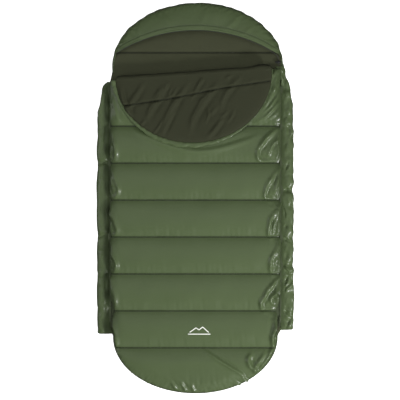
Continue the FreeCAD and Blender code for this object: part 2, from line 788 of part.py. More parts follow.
def build_pull(side, word):
    """A tab with a window for the bail and a crossbar at the pivot. It lies towards the foot."""
    body = doc.addObject("PartDesign::Body", f"{word}_pull_tab")
    sketch = plane_sketch(body, f"{word}_pull_sketch", "XY_Plane")
    end_half = "<pull_width>/2-<pull_taper>"
    outline(
        sketch,
        [
            ("-<pull_width>/2", "<pull_taper>-<pull_length>"),
            (f"-({end_half})", "-<pull_length>"),
            (end_half, "-<pull_length>"),
            ("<pull_width>/2", "<pull_taper>-<pull_length>"),
            ("<pull_width>/2", "<pull_bar>"),
            ("-<pull_width>/2", "<pull_bar>"),
        ],
    )
    pad = body.newObject("PartDesign::Pad", f"{word}_pull_pad")
    pad.Profile = sketch
    pad.Midplane = True
    bind(pad, Length="<pull_tab>")
    window = plane_sketch(body, f"{word}_pull_window", "XY_Plane")
    half_window = "<pull_window>/2"
    outline(
        window,
        [
            (f"-{half_window}", "-<pull_bar>"),
            (f"-{half_window}", "-<pull_window_end>"),
            (half_window, "-<pull_window_end>"),
            (half_window, "-<pull_bar>"),
        ],
    )
    pocket = body.newObject("PartDesign::Pocket", f"{word}_pull_pocket")
    pocket.Profile = window
    pocket.Midplane = True
    bind(pocket, Length="2*<pull_tab>")
    place(body, f"{side}*<zip_x>", "-<slider_park>", "<pull_pivot_z>")
    part(body, f"{word}_zip_pull")


# ---------------------------------------------------------------- build, check, write

build_base()
build_foot()
build_badge()
build_cover()
build_flap()
build_hood()
build_cord_lock()
for bag_side, bag_word in ((-1, "left"), (1, "right")):
    build_wing(bag_side, bag_word)
    build_zip(bag_side, bag_word)
    build_slider(bag_side, bag_word)
    build_pull(bag_side, bag_word)
doc.recompute()

failed = [item.Name for item in doc.Objects if "Invalid" in item.State or "Error" in item.State]
empty = [item.Label for item in PARTS if not (item.Shape.isValid() and item.Shape.Solids)]
if failed or empty:
    raise SystemExit(f"failed to build: {failed}; no valid solid: {empty}")

os.makedirs("parts", exist_ok=True)
for item in PARTS:
    item.Shape.exportStep(os.path.join("parts", f"{item.Label}.step"))
print(f"{len(PARTS)} parts written")
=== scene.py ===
import json
import math

import bpy
import numpy as np
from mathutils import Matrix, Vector
from mathutils.bvhtree import BVHTree


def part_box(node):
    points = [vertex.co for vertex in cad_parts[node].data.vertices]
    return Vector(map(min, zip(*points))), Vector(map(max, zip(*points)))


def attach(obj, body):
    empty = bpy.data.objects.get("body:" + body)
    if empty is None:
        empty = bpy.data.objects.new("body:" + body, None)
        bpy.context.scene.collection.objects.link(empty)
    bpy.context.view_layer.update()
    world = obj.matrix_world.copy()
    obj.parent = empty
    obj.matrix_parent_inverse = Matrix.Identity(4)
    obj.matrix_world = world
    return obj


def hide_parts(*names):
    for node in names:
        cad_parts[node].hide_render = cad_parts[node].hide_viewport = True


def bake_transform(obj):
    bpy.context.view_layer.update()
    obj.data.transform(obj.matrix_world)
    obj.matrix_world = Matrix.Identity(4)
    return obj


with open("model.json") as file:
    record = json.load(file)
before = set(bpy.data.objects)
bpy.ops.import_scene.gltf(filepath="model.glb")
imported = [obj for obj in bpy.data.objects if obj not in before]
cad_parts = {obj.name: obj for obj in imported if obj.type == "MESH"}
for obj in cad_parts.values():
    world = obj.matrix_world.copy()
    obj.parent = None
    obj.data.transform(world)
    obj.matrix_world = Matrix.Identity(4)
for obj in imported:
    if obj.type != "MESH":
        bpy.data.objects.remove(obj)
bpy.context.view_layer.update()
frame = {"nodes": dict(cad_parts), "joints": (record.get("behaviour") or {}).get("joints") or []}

# A quilted bivy-style sleeping bag. Metres, in the frame of the CAD model: +Y to the hood, +Z up.

MM = 0.001

# ---------------------------------------------------------------- places read from the frame

BASE_LOW, BASE_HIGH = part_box("base_outer")
COVER_LOW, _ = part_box("cover_outer")
_, FLAP_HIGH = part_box("flap_lining")
JOINTS = {joint["name"]: joint for joint in frame["joints"]}
HINGE_Y = JOINTS["cover_fold"]["pos_m"][1]
FOLD = Vector(JOINTS["flap_fold"]["pos_m"])
TILT = math.atan2(-JOINTS["flap_fold"]["axis"][1], -JOINTS["flap_fold"]["axis"][0])
GROUND = BASE_LOW.z
LINING_Z = BASE_HIGH.z
SEAM_PITCH = 198 * MM
SEAMS = [HINGE_Y + n * SEAM_PITCH for n in range(-1, 6)]
PILLOW_SEAM = HINGE_Y + 7 * SEAM_PITCH
WING_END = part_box("left_wing_outer")[0].y

# Outlines seen from above. The hood lies a little to the right of the middle.
TOE_CENTRE, TOE_DEPTH, TOE_HALF = -747 * MM, 303 * MM, 442 * MM
COVER_HALF = 461 * MM
HEAD_CENTRE, HEAD_DEPTH, HEAD_HALF = 708 * MM, 342 * MM, 459 * MM
HEAD_SHIFT = 12 * MM
BRIM_RADIUS, BRIM_APEX, BRIM_SHIFT = 824 * MM, 904 * MM, 5 * MM
FLAP_HALF, FLAP_DEPTH, FLAP_SHIFT = 420 * MM, 366 * MM, -10 * MM
FLAP_THICK = FLAP_HIGH.z - FOLD.z
ROLL_RADIUS = FLAP_THICK - 1 * MM

# ---------------------------------------------------------------- numbers and noise


def smooth(x, low, high):
    """0 below low, 1 above high, and an S curve between."""
    t = np.clip((x - low) / (high - low), 0, 1)
    return t * t * (3 - 2 * t)


def noise(x, y, size, seed, terms=10):
    """Smooth noise of about -1 to 1, with lumps of about the given size."""
    rng = np.random.default_rng(seed)
    total = np.zeros(np.broadcast(x, y).shape)
    for _ in range(terms):
        angle, phase = rng.uniform(0, 2 * math.pi, 2)
        k = 2 * math.pi / size * rng.uniform(0.6, 1.4)
        total += np.sin(k * (x * math.cos(angle) + y * math.sin(angle)) + phase)
    return total / math.sqrt(terms)


def crease_field(x, y, creases):
    """Height of a set of long soft ridges. Each is x, y, heading, length, width, height."""
    total = np.zeros(x.shape)
    for cx, cy, heading, length, width, height in creases:
        c, s = math.cos(heading), math.sin(heading)
        along = ((x - cx) * c + (y - cy) * s) / length
        bow = 0.25 * width * along * along * length / width * 0.3
        across = (-(x - cx) * s + (y - cy) * c - bow) / width
        near = (np.abs(along) < 2.2) & (np.abs(across) < 4)
        across = across[near]
        ridge = np.exp(-(across**2)) - 0.45 * np.exp(-((across - 1.3) ** 2))
        total[near] += height * (np.exp(-(along[near] ** 2)) * ridge)
    return total


def millimetres(*points):
    return [(x * MM, y * MM) for x, y in points]


def catmull_rom(corners, f):
    """Points on the smooth curve between the second and the third of four corners."""
    p0, p1, p2, p3 = corners
    square, cube = 2 * p0 - 5 * p1 + 4 * p2 - p3, 3 * p1 - p0 - 3 * p2 + p3
    return 0.5 * (2 * p1 + (p2 - p0) * f + square * f**2 + cube * f**3)


def smooth_path(points, count=24):
    """Points on a smooth open curve through a few points."""
    points = np.asarray(points, float)
    points = np.vstack([2 * points[0] - points[1], points, 2 * points[-1] - points[-2]])
    t = np.linspace(0, len(points) - 3 - 1e-9, count)
    i, f = t.astype(int), (t % 1)[:, None]
    return catmull_rom([points[i + k] for k in range(4)], f)


def closed_curve(points, count):
    """Points on a smooth closed curve through a few points."""
    n = len(points)
    t = np.linspace(0, n, count, endpoint=False)
    i, f = t.astype(int), (t % 1)[:, None]
    return catmull_rom([points[(i + k) % n] for k in (-1, 0, 1, 2)], f)


def fold_set(*rows):
    """Folds from rows in millimetres: the width, the height and the points of the path."""
    return [(millimetres(*path), width * MM, height * MM) for width, height, *path in rows]


def folds(x, y, curves):
    """Height of soft folds that run along curves. Each is a path, a width and a height; a hollow lies
    on the left of the path."""
    total = np.zeros(x.shape)
    for path, width, height in curves:
        p = smooth_path(path)
        low, high = p.min(0) - 3.5 * width, p.max(0) + 3.5 * width
        near = np.nonzero((x > low[0]) & (x < high[0]) & (y > low[1]) & (y < high[1]))[0]
        if not len(near):
            continue
        spots = np.stack([x[near], y[near]], -1)[:, None]
        run = p[1:] - p[:-1]
        t = np.clip(((spots - p[:-1]) * run).sum(-1) / (run**2).sum(-1), 0, 1)
        away = spots - (p[:-1] + t[..., None] * run)
        gap = np.linalg.norm(away, axis=-1)
        best = gap.argmin(1)
        row = np.arange(len(near))
        share = (best + t[row, best]) / len(run)
        away, run, gap = away[row, best], run[best], gap[row, best]
        left = np.sign(run[:, 0] * away[:, 1] - run[:, 1] * away[:, 0])
        s = left * gap / width
        fade = np.sin(math.pi * np.clip(share, 0.02, 0.98)) ** 0.7
        total[near] += height * fade * (np.exp(-(s**2)) - 0.5 * np.exp(-((s - 1.5) ** 2)))
    return total


# ---------------------------------------------------------------- meshes


def link(obj):
    bpy.context.scene.collection.objects.link(obj)
    return obj


def make(name, verts, faces, *materials, material_of=None, shade_smooth=True):
    """A mesh object from vertices and faces."""
    mesh = bpy.data.meshes.new(name)
    mesh.from_pydata([tuple(v) for v in verts], [], [tuple(f) for f in faces])
    for material in materials:
        mesh.materials.append(material)
    if material_of is not None:
        mesh.polygons.foreach_set("material_index", np.asarray(material_of, np.int32))
    mesh.polygons.foreach_set("use_smooth", [shade_smooth] * len(mesh.polygons))
    mesh.update()
    return link(bpy.data.objects.new(name, mesh))


def vectors(items, attribute):
    """One row of three numbers for each vertex or face."""
    out = np.empty(len(items) * 3, np.float32)
    items.foreach_get(attribute, out)
    return out.reshape(-1, 3)


def points_of(obj):
    return vectors(obj.data.vertices, "co").astype(float)


def set_points(obj, points):
    obj.data.vertices.foreach_set("co", points.astype(np.float32).ravel())
    obj.data.update()


def normals_of(obj):
    return vectors(obj.data.vertex_normals, "vector").astype(float)


def bake(obj):
    """Applies every modifier and shades the surface smooth."""
    graph = bpy.context.evaluated_depsgraph_get()
    mesh = bpy.data.meshes.new_from_object(obj.evaluated_get(graph))
    obj.modifiers.clear()
    obj.data = mesh
    mesh.polygons.foreach_set("use_smooth", [True] * len(mesh.polygons))
    return obj


def fit(obj, body, slot, *nodes):
    """Puts a piece on a body, in place of the CAD nodes that it stands for."""
    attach(obj, body)
    if nodes:
        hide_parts(*nodes)
    return obj


def slab(name, outline, low, high):
    """A closed flat slab over an outline that runs anticlockwise seen from above."""
    n = len(outline)
    verts = [(x, y, low) for x, y in outline] + [(x, y, high) for x, y in outline]
    faces = [list(range(n))[::-1], list(range(n, 2 * n))]
    faces += [[i, (i + 1) % n, n + (i + 1) % n, n + i] for i in range(n)]
    return make(name, verts, faces)


def even(obj, voxel):
    """Remeshes a closed mesh to even quads."""
    remesh = obj.modifiers.new("even", "REMESH")
    remesh.mode, remesh.voxel_size = "VOXEL", voxel
    return bake(obj)


def subdivide(obj, levels=1):
    obj.modifiers.new("fine", "SUBSURF").levels = levels
    return bake(obj)


def grid_faces(rows, columns, wrap_rows=False, wrap_columns=False, caps=False):
    """Quads over a grid of points. Caps close the two ends that are not wrapped."""
    index = np.arange(rows * columns).reshape(rows, columns)
    ends = (index[:, 0], index[::-1, -1]) if wrap_rows else (index[0, ::-1], index[-1])
    if wrap_rows:
        index = np.vstack([index, index[:1]])
    if wrap_columns:
        index = np.hstack([index, index[:, :1]])
    corners = [index[:-1, :-1], index[:-1, 1:], index[1:, 1:], index[1:, :-1]]
    faces = np.stack(corners, -1).reshape(-1, 4).tolist()
    return faces + [end.tolist() for end in ends] if caps else faces


def grid(name, points, *materials, **closed):
    """A mesh through a grid of points, rows by columns, closed as grid_faces says."""
    return make(name, points.reshape(-1, 3), grid_faces(*points.shape[:2], **closed), *materials)


def tube(name, path, radius, *materials, sides=10, flat=1.0, closed=False, beside=(0, 0, 1)):
    """A round or flattened tube along a path that never runs along beside. The radius may change from
    point to point."""
    path = np.asarray(path, float)
    radius = np.broadcast_to(np.asarray(radius, float), len(path))
    if closed:
        ahead, behind = np.roll(path, -1, 0), np.roll(path, 1, 0)
    else:
        ahead, behind = np.vstack([path[1:], path[-1:]]), np.vstack([path[:1], path[:-1]])
    run = ahead - behind
    run /= np.linalg.norm(run, axis=1)[:, None]
    side = np.cross(run, beside)
    side /= np.maximum(np.linalg.norm(side, axis=1)[:, None], 1e-9)
    up = np.cross(side, run)
    turn = np.linspace(0, 2 * math.pi, sides, endpoint=False)
    rings = (
        path[:, None]
        + side[:, None] * (np.cos(turn)[None, :, None] * radius[:, None, None])
        + up[:, None] * (np.sin(turn)[None, :, None] * radius[:, None, None] * flat)
    )
    return grid(name, rings, *materials, wrap_rows=closed, wrap_columns=True, caps=not closed)


def puff(obj, pinned, pressure, grow, cap, frames=14, bending=2.0, loose=None):
    """Cloth simulation: the skin grows a little between its pinned points and is blown outwards.
    Where loose is 0 it keeps its size. No point may move further than cap."""
    start = points_of(obj)
    group = obj.vertex_groups.new(name="pins")
    group.add(np.nonzero(pinned)[0].tolist(), 1.0, "REPLACE")
    modifier = obj.modifiers.new("cloth", "CLOTH")
    cloth = modifier.settings
    cloth.quality = 5
    cloth.mass = 0.02
    cloth.tension_stiffness = cloth.compression_stiffness = 40
    cloth.shear_stiffness = 10
    cloth.bending_stiffness = bending
    cloth.use_pressure = True
    cloth.uniform_pressure_force = pressure
    cloth.shrink_min = -grow
    if loose is not None:
        weights = obj.vertex_groups.new(name="loose")
        for level in range(1, 11):
            members = np.nonzero(np.round(loose * 10) == level)[0]
            weights.add(members.tolist(), level / 10, "REPLACE")
        cloth.vertex_group_shrink = "loose"
        cloth.shrink_min, cloth.shrink_max = 0.0, -grow
    cloth.vertex_group_mass = "pins"
    cloth.effector_weights.gravity = 0
    modifier.collision_settings.use_collision = False
    for step in range(1, frames + 1):
        bpy.context.scene.frame_set(step)
    graph = bpy.context.evaluated_depsgraph_get()
    shift = vectors(obj.evaluated_get(graph).data.vertices, "co") - start
    obj.modifiers.clear()
    obj.vertex_groups.clear()
    bpy.context.scene.frame_set(1)
    length = np.linalg.norm(shift, axis=1)
    shift *= np.minimum(1, cap / np.maximum(length, 1e-9))[:, None]
    set_points(obj, start + shift)
    return obj


def surface_of(obj):
    """A tree for finding points on a surface."""
    mesh = obj.data
    return BVHTree.FromPolygons([v.co for v in mesh.vertices], [p.vertices for p in mesh.polygons])


def drop(tree, x, y, lift=0.0):
    """The point of a surface that is straight below x, y, raised by lift."""
    hit = tree.ray_cast(Vector((x, y, 1)), Vector((0, 0, -1)))[0]
    return None if hit is None else Vector((x, y, hit.z + lift))


STITCH_PITCH, STITCH_LENGTH, STITCH_RADIUS = 4.5 * MM, 3.2 * MM, 0.55 * MM


def stitches(name, path, body, material):
    """A row of thread stitches along a path of points that lie on the cloth."""
    path = np.asarray([tuple(p) for p in path if p is not None])
    steps = np.linalg.norm(np.diff(path, axis=0), axis=1)
    walk = np.concatenate([[0], np.cumsum(steps)])
    middles = np.arange(STITCH_PITCH, walk[-1] - STITCH_PITCH, STITCH_PITCH)
    ends = [middles + half for half in (-STITCH_LENGTH / 2, STITCH_LENGTH / 2)]
    a, b = (np.stack([np.interp(end, walk, path[:, k]) for k in range(3)], -1) for end in ends)
    run = (b - a) / np.linalg.norm(b - a, axis=1)[:, None]
    side = np.cross(run, [0, 0, 1])
    up = np.cross(side, run)
    verts, faces = [], []
    ring = [(1, -0.6), (0.6, 0.9), (-0.6, 0.9), (-1, -0.6)]
    stations = [(0, -0.9, 0.35), (0.25, 0.1, 1), (0.75, 0.1, 1), (1, -0.9, 0.35)]
    for share, raised, size in stations:
        centre = a + (b - a) * share + up * STITCH_RADIUS * raised
        for s, u in ring:
            verts.append(centre + side * STITCH_RADIUS * size * s + up * STITCH_RADIUS * size * u)
    verts = np.stack(verts, 1)
    count, each = verts.shape[:2]
    one = grid_faces(len(stations), len(ring), wrap_columns=True, caps=True)
    for n in range(count):
        faces += [[n * each + i for i in face] for face in one]
    fit(make(name, verts.reshape(-1, 3), faces, material), body, "shell_fabric")


# ---------------------------------------------------------------- materials


class Nodes:
    """A short way to write a node material."""

    def __init__(self, name):
        self.material = bpy.data.materials.new(name)
        self.material.use_nodes = True
        self.tree = self.material.node_tree
        self.bsdf = self.tree.nodes["Principled BSDF"]
        self.place = self.add("ShaderNodeTexCoord").outputs["Object"]

    def add(self, kind, inputs=None, **settings):
        node = self.tree.nodes.new(kind)
        for key, value in settings.items():
            setattr(node, key, value)
        for key, value in (inputs or {}).items():
            self.put(node.inputs[key], value)
        return node

    def put(self, socket, value):
        if isinstance(value, bpy.types.NodeSocket):
            self.tree.links.new(value, socket)
        else:
            socket.default_value = value

    def math(self, operation, a, b=0.0, clamp=False):
        node = self.add("ShaderNodeMath", {0: a, 1: b}, operation=operation, use_clamp=clamp)
        return node.outputs[0]

    def noise(self, scale, detail=3.0, roughness=0.5, stretch=(1, 1, 1)):
        mapping = {"Vector": self.place, "Scale": stretch}
        mapped = self.add("ShaderNodeMapping", mapping)
        inputs = {"Vector": mapped.outputs[0], "Scale": scale, "Detail": detail, "Roughness": roughness}
        return self.add("ShaderNodeTexNoise", inputs).outputs["Fac"]

    def band(self, axis, pitch):
        """Fine threads across an axis."""
        inputs = {"Vector": self.place, "Scale": math.pi / pitch / 10}
        return self.add("ShaderNodeTexWave", inputs, bands_direction=axis).outputs["Fac"]

    def mix(self, share, a, b):
        node = self.add("ShaderNodeMix", data_type="RGBA")
        self.put(node.inputs[0], share)
        self.put(node.inputs[6], a)
        self.put(node.inputs[7], b)
        return node.outputs[2]

    def range(self, value, low, high):
        return self.add("ShaderNodeMapRange", {"Value": value, "To Min": low, "To Max": high}).outputs[0]

    def bump(self, height, strength, distance, below=None):
        inputs = {"Height": height, "Strength": strength, "Distance": distance}
        if below is not None:
            inputs["Normal"] = below
        return self.add("ShaderNodeBump", inputs).outputs[0]

    def finish(self, **inputs):
        for key, value in inputs.items():
            self.put(self.bsdf.inputs[key.replace("_", " ")], value)
        return self.material


def tint(colour, share):
    return tuple(c * share for c in colour) + (1,)


def cloth_material(name, colour, roughness, sheen, coat, ripple, thread, specular=0.5):
    """Woven cloth: threads both ways, patchy dye and shine, soft ripples, rubbed high spots, and painted
    shade where the shade attribute asks for it.
    """
    n = Nodes(name)
    patches = n.noise(6, 4)
    fibres = n.noise(900, 2, 0.7)
    weave = n.math("MULTIPLY", n.band("X", thread), n.band("Y", thread))
    base = n.mix(n.range(patches, 0.2, 0.8), tint(colour, 0.9), tint(colour, 1.1))
    base = n.mix(n.math("MULTIPLY", fibres, 0.35), base, tint(colour, 0.8))
    pointed = n.add("ShaderNodeNewGeometry").outputs["Pointiness"]
    worn = n.range(n.math("SUBTRACT", pointed, 0.5), 0.0, 1.0)
    rubbed = n.math("MULTIPLY", worn, 4.0, clamp=True)
    base = n.mix(rubbed, base, tint(colour, 1.25))
    # Painted shade: the colour is mixed towards near black where the mesh's shade attribute is high.
    held = n.add("ShaderNodeAttribute", attribute_name="shade").outputs["Fac"]
    base = n.mix(n.math("MULTIPLY", held, 0.92), base, tint(colour, 0.06))
    soft = n.bump(n.noise(22, 3, 0.55, (1, 0.45, 1)), ripple, 8 * MM)
    small = n.bump(n.noise(90, 3, 0.6, (1, 0.5, 1)), ripple * 0.6, 2 * MM, soft)
    woven = n.bump(n.math("ADD", weave, n.math("MULTIPLY", fibres, 0.5)), 0.35, 0.3 * MM, small)
    rough = n.range(n.noise(14, 3), roughness - 0.07, roughness + 0.07)
    return n.finish(
        Base_Color=base, Roughness=rough, Normal=woven, Sheen_Weight=sheen, Sheen_Roughness=0.5,
        Coat_Weight=coat, Coat_Roughness=0.2, Specular_IOR_Level=specular,
    )


def hard_material(name, colour, roughness, metallic, grain):
    """Moulded plastic or plated metal with a fine grain and rubbed edges."""
    n = Nodes(name)
    speck = n.noise(grain, 4, 0.6)
    base = n.mix(speck, tint(colour, 0.8), tint(colour, 1.25))
    pointed = n.add("ShaderNodeNewGeometry").outputs["Pointiness"]
    rubbed = n.math("MULTIPLY", n.math("SUBTRACT", pointed, 0.52), 8.0, clamp=True)
    base = n.mix(rubbed, base, tint(colour, 2.2))
    rough = n.range(speck, roughness - 0.08, roughness + 0.08)
    return n.finish(Base_Color=base, Roughness=rough, Metallic=metallic, Normal=n.bump(speck, 0.15, 0.2 * MM))


SHELL_COLOUR = (0.080, 0.112, 0.048)
LINING_COLOUR = (0.032, 0.035, 0.019)
SHELL = cloth_material("shell_nylon", SHELL_COLOUR, 0.40, 0.02, 0.5, 0.06, 0.8 * MM, specular=0.4)
# The lining on the flap, and the same cloth inside the bag, where less light reaches it, painted 1.6 times
# lighter as painted light to make up for it.
FLAP_TONE, INSIDE_PAINTED_LIGHT_TONE = tint(LINING_COLOUR, 1.06)[:3], tint(LINING_COLOUR, 1.6)[:3]
LINING = cloth_material("lining_brushed", FLAP_TONE, 0.7, 0.02, 0.0, 0.05, 0.7 * MM, specular=0.15)
INSIDE = cloth_material("lining_inside", INSIDE_PAINTED_LIGHT_TONE, 0.8, 0.03, 0.0, 0.05, 0.7 * MM, specular=0.2)
BINDING = cloth_material("binding_tape", tint(SHELL_COLOUR, 0.7)[:3], 0.55, 0.1, 0.0, 0.05, 1.0 * MM)
TAPE = cloth_material("zip_tape_twill", (0.058, 0.076, 0.036), 0.7, 0.1, 0.0, 0.03, 0.9 * MM)
THREAD = cloth_material("sewing_thread", (0.050, 0.064, 0.033), 0.5, 0.2, 0.0, 0.02, 0.3 * MM)
CORD = cloth_material("elastic_cord", (0.028, 0.030, 0.024), 0.7, 0.2, 0.0, 0.02, 0.5 * MM)
PRINT = cloth_material("pale_print", (0.86, 0.87, 0.82), 0.6, 0.0, 0.0, 0.05, 0.8 * MM)
PLASTIC = hard_material("black_plastic", (0.020, 0.021, 0.019), 0.45, 0.0, 700)
NYLON = hard_material("coil_nylon", (0.050, 0.064, 0.034), 0.4, 0.0, 900)
METAL = hard_material("olive_lacquered_metal", (0.085, 0.105, 0.060), 0.36, 0.5, 500)
STEEL = hard_material("spring_steel", (0.5, 0.5, 0.5), 0.3, 1.0, 900)

# ---------------------------------------------------------------- outlines


def cover_half(y):
    """Half the width of the cover. It is drawn in where the sliders are parked."""
    return TOE_HALF + (COVER_HALF - TOE_HALF) * smooth(y, HINGE_Y, HINGE_Y + 110 * MM)


def toe_edge(x, y):
    """Distance in from the outline of the foot and cover, and the outward direction."""
    half = cover_half(y)
    reach = np.hypot(x / TOE_HALF, (y - TOE_CENTRE) / TOE_DEPTH)
    gx = x / TOE_HALF**2 / np.maximum(reach, 1e-6)
    gy = (y - TOE_CENTRE) / TOE_DEPTH**2 / np.maximum(reach, 1e-6)
    slope = np.maximum(np.hypot(gx, gy), 1e-6)
    straight = y > TOE_CENTRE
    inward = np.where(straight, half - np.abs(x), (1 - reach) / slope)
    nx = np.where(straight, np.sign(x), gx / slope)
    ny = np.where(straight, 0.0, gy / slope)
    return inward, nx, ny


def toe_outline(steps=60):
    """The rounded foot, from left to right."""
    turn = np.linspace(0, math.pi, steps)
    return [(-TOE_HALF * math.cos(a), TOE_CENTRE - TOE_DEPTH * math.sin(a)) for a in turn]


def channel(y, seams, power):
    """0 on a quilting seam and 1 in the middle of a channel. The end channels run on at full height."""
    steps = np.clip((y - seams[0]) / SEAM_PITCH, -0.5, len(seams) - 0.5)
    return 1 - np.abs(2 * (steps % 1) - 1) ** power


def fold_line(x):
    return FOLD.y + x * math.tan(TILT)


def to_fold(points):
    """Row frame to the flap's own frame: along the fold, towards the head, and up from the fold axis."""
    c, s = math.cos(TILT), math.sin(TILT)
    x, y = points[..., 0] - FOLD.x, points[..., 1] - FOLD.y
    return np.stack([x * c + y * s, -x * s + y * c, points[..., 2] - FOLD.z], -1)


def from_fold(points):
    c, s = math.cos(TILT), math.sin(TILT)
    u, v = points[..., 0], points[..., 1]
    return np.stack([FOLD.x + u * c - v * s, FOLD.y + u * s + v * c, points[..., 2] + FOLD.z], -1)


def flap_reach(u, v):
    """1 on the outline of the flap's lining, less inside."""
    return np.hypot((u - FLAP_SHIFT) / FLAP_HALF, v / FLAP_DEPTH)


# ---------------------------------------------------------------- quilted cover and foot

PAD_VOXEL = 9 * MM
QUILT_LOW = COVER_LOW.z + 1 * MM
SEAM_Z, CROWN_Z, PRESSED_Z = 68 * MM, 89 * MM, 84.5 * MM
EDGE_ROUND = 62 * MM
TUCK = 30 * MM
SEAM_TUCK = 13 * MM
TONGUE = 6 * MM
LINING_TUCK = 5 * MM


def quilt_outline():
    ys = np.linspace(TOE_CENTRE, 600 * MM, 40)[1:]
    right = [(float(cover_half(y)), y) for y in ys]
    end = [(x, float(fold_line(x)) + TONGUE) for x in (COVER_HALF, -COVER_HALF)]
    return toe_outline() + right + end + [(-x, y) for x, y in right[::-1]]


def shape_quilt(points):
    """Turns a flat slab into channels with rounded edges, sewn in at the bottom."""
    x, y, z = points.T
    high = z.max()
    rise = (z - QUILT_LOW) / (high - QUILT_LOW)
    inward, nx, ny = toe_edge(x, y)
    from_end = fold_line(x) + TONGUE - y
    inward = np.maximum(inward, 0)
    arch = channel(y, SEAMS, 2.5)
    local = to_fold(points)
    under_flap = 1 - smooth(flap_reach(local[:, 0], local[:, 1]), 1.05, 1.2)
    crown = CROWN_Z + (PRESSED_Z - CROWN_Z) * np.where(y > 0.2, under_flap, 0)
    full = SEAM_Z + (crown - SEAM_Z) * arch - 4 * MM * (arch < 0.02) - QUILT_LOW
    edge = np.sqrt(1 - (1 - np.clip(inward / EDGE_ROUND, 0, 1)) ** 2)
    head = np.sqrt(1 - (1 - np.clip(from_end / (20 * MM), 0, 1)) ** 2)
    top = full * (0.5 + 0.5 * edge) * (0.45 + 0.55 * head)
    beside_roll = np.clip(local[:, 1], -ROLL_RADIUS, ROLL_RADIUS)
    under_roll = FOLD.z - np.sqrt(ROLL_RADIUS**2 - beside_roll**2) + 1.5 * MM - QUILT_LOW
    covered = (np.abs(local[:, 0]) < FLAP_HALF) & (local[:, 1] > -ROLL_RADIUS)
    top = np.where(covered, np.minimum(top, under_roll), top)
    side = 1 - smooth(inward, 0, 14 * MM)
    drawn_in = 0.3 + 0.7 * smooth(y, TOE_CENTRE, TOE_CENTRE + 60 * MM)
    tuck = side * drawn_in * (TUCK * (1 - np.clip(rise / 0.85, 0, 1)) + SEAM_TUCK * (1 - arch) ** 3)
    under = LINING_TUCK * (1 - arch) ** 2 * (1 - rise) ** 2 * smooth(inward, 10 * MM, 60 * MM)
    return np.stack([x - nx * tuck, y - ny * tuck, QUILT_LOW + under + rise * top], -1)


# How far the folds beside each zip reach into each channel, from the foot to the head.
RIGHT_REACH = np.array([34, 104, 64, 74, 78, 126]) * MM
LEFT_REACH = np.array([16, 26, 44, 34, 48, 40]) * MM
# A hooked fold: share of the reach in from the zip, and share of the channel up from its lower seam.
HOOK = [(0.05, 0.93), (0.38, 0.74), (0.82, 0.46), (1.0, 0.22), (0.80, 0.07), (0.25, 0.04)]
SHORT_HOOK = [(0.04, 0.66), (0.30, 0.52), (0.52, 0.30), (0.50, 0.12)]
SIDE_FOLD = [(0.00, 0.98), (0.16, 0.62), (0.12, 0.30), (0.22, 0.08)]


def zip_folds():
    """Diagonal pulls beside the zips, longer and deeper on the right."""
    rng = np.random.default_rng(3)
    curves = []
    for side, reaches, depth in ((1, RIGHT_REACH, 1.1), (-1, LEFT_REACH, 0.8)):
        for n, reach in enumerate(reaches):
            for shape, width, height in ((HOOK, 11, 14), (SHORT_HOOK, 8, 10), (SIDE_FOLD, 8, 8)):
                edge = cover_half(SEAMS[n] + SEAM_PITCH / 2) - 6 * MM
                swing, lift = rng.uniform(0.7, 1.15), rng.uniform(-0.10, 0.05)
                jitter = rng.normal(0, 0.045, (len(shape), 2))
                path = []
                for (f, g), (df, dg) in zip(shape, jitter):
                    y = SEAMS[n] + (g + lift * f + 0.5 * dg) * SEAM_PITCH
                    path.append((side * (edge - (f + df) * swing * reach), y))
                size = rng.uniform(0.75, 1.15)
                curves.append((path[::side], width * MM, height * size * depth * MM))
    return curves


def edge_crumple(x, y, inward):
    """Small broken wrinkles in the folded zones beside the zips."""
    zone = np.where(x > 0, 1 - smooth(inward, 25 * MM, 95 * MM), 0.7 * (1 - smooth(inward, 10 * MM, 50 * MM)))
    broken = np.abs(noise(x * 1.3 + y * 0.5, y * 0.8, 46 * MM, 13)) - 0.6
    return zone * broken * smooth(noise(x, y, 150 * MM, 14), -0.6, 0.8) * 2.4 * MM * (y > TOE_CENTRE)


# Folds that fan out from the right end of the fold, beside the flap.
SHOULDER_FOLDS = fold_set(
    (8, 7, (446, 684), (432, 640), (424, 596), (412, 560)),
    (8, 9, (452, 650), (440, 610), (414, 566), (380, 512)),
    (8, 10, (452, 616), (432, 572), (396, 520), (352, 462)),
    (8, 10, (450, 578), (434, 540), (402, 492), (350, 440)),
    (10, 11, (450, 520), (425, 490), (380, 440), (322, 404)),
    (8, 5, (448, 470), (418, 440), (370, 412), (330, 396)),
    (8, 5, (-448, 560), (-436, 500), (-420, 440), (-400, 395)),
    (8, 4, (-440, 600), (-424, 540), (-396, 470), (-350, 400)),
)
# Under the flap's hem the cover is pressed into two shallow rolls.
PRESS_FOLDS = fold_set(
    (15, 9, (-345, 372), (-290, 340), (-180, 292), (-30, 252), (95, 256), (250, 298), (340, 330)),
    (10, 6, (-250, 352), (-150, 316), (-60, 284), (10, 276)),
)
# Pulls on the foot, most of them at its lower right.
TOE_FOLDS = fold_set(
    (9, 11, (45, -815), (105, -855), (172, -896), (240, -937), (268, -970)),
    (13, 15, (300, -835), (284, -866), (298, -905), (340, -932)),
    (11, 14, (372, -832), (350, -866), (322, -905), (318, -945)),
    (9, 11, (412, -800), (392, -850), (362, -890), (340, -930)),
    (8, 8, (430, -760), (420, -800), (400, -838)),
    (8, 8, (215, -985), (236, -1000), (262, -1008)),
    (8, 8, (250, -962), (272, -976), (298, -982)),
    (8, 9, (-78, -982), (-62, -1010), (-46, -1036)),
    (8, 8, (-130, -980), (-112, -1006), (-98, -1028)),
    (8, 7, (-20, -995), (-12, -1020), (2, -1040)),
)


def toe_puckers(x, y):
    """Small gathers that run in from the seam round the foot."""
    inward, _, _ = toe_edge(x, y)
    turn = np.arctan2((TOE_CENTRE - y) / TOE_DEPTH, x / TOE_HALF)
    near = np.exp(-inward / (20 * MM)) * (y < TOE_CENTRE)
    return near * noise(turn, inward * 1.5, 0.07, 12) * 2.2 * MM


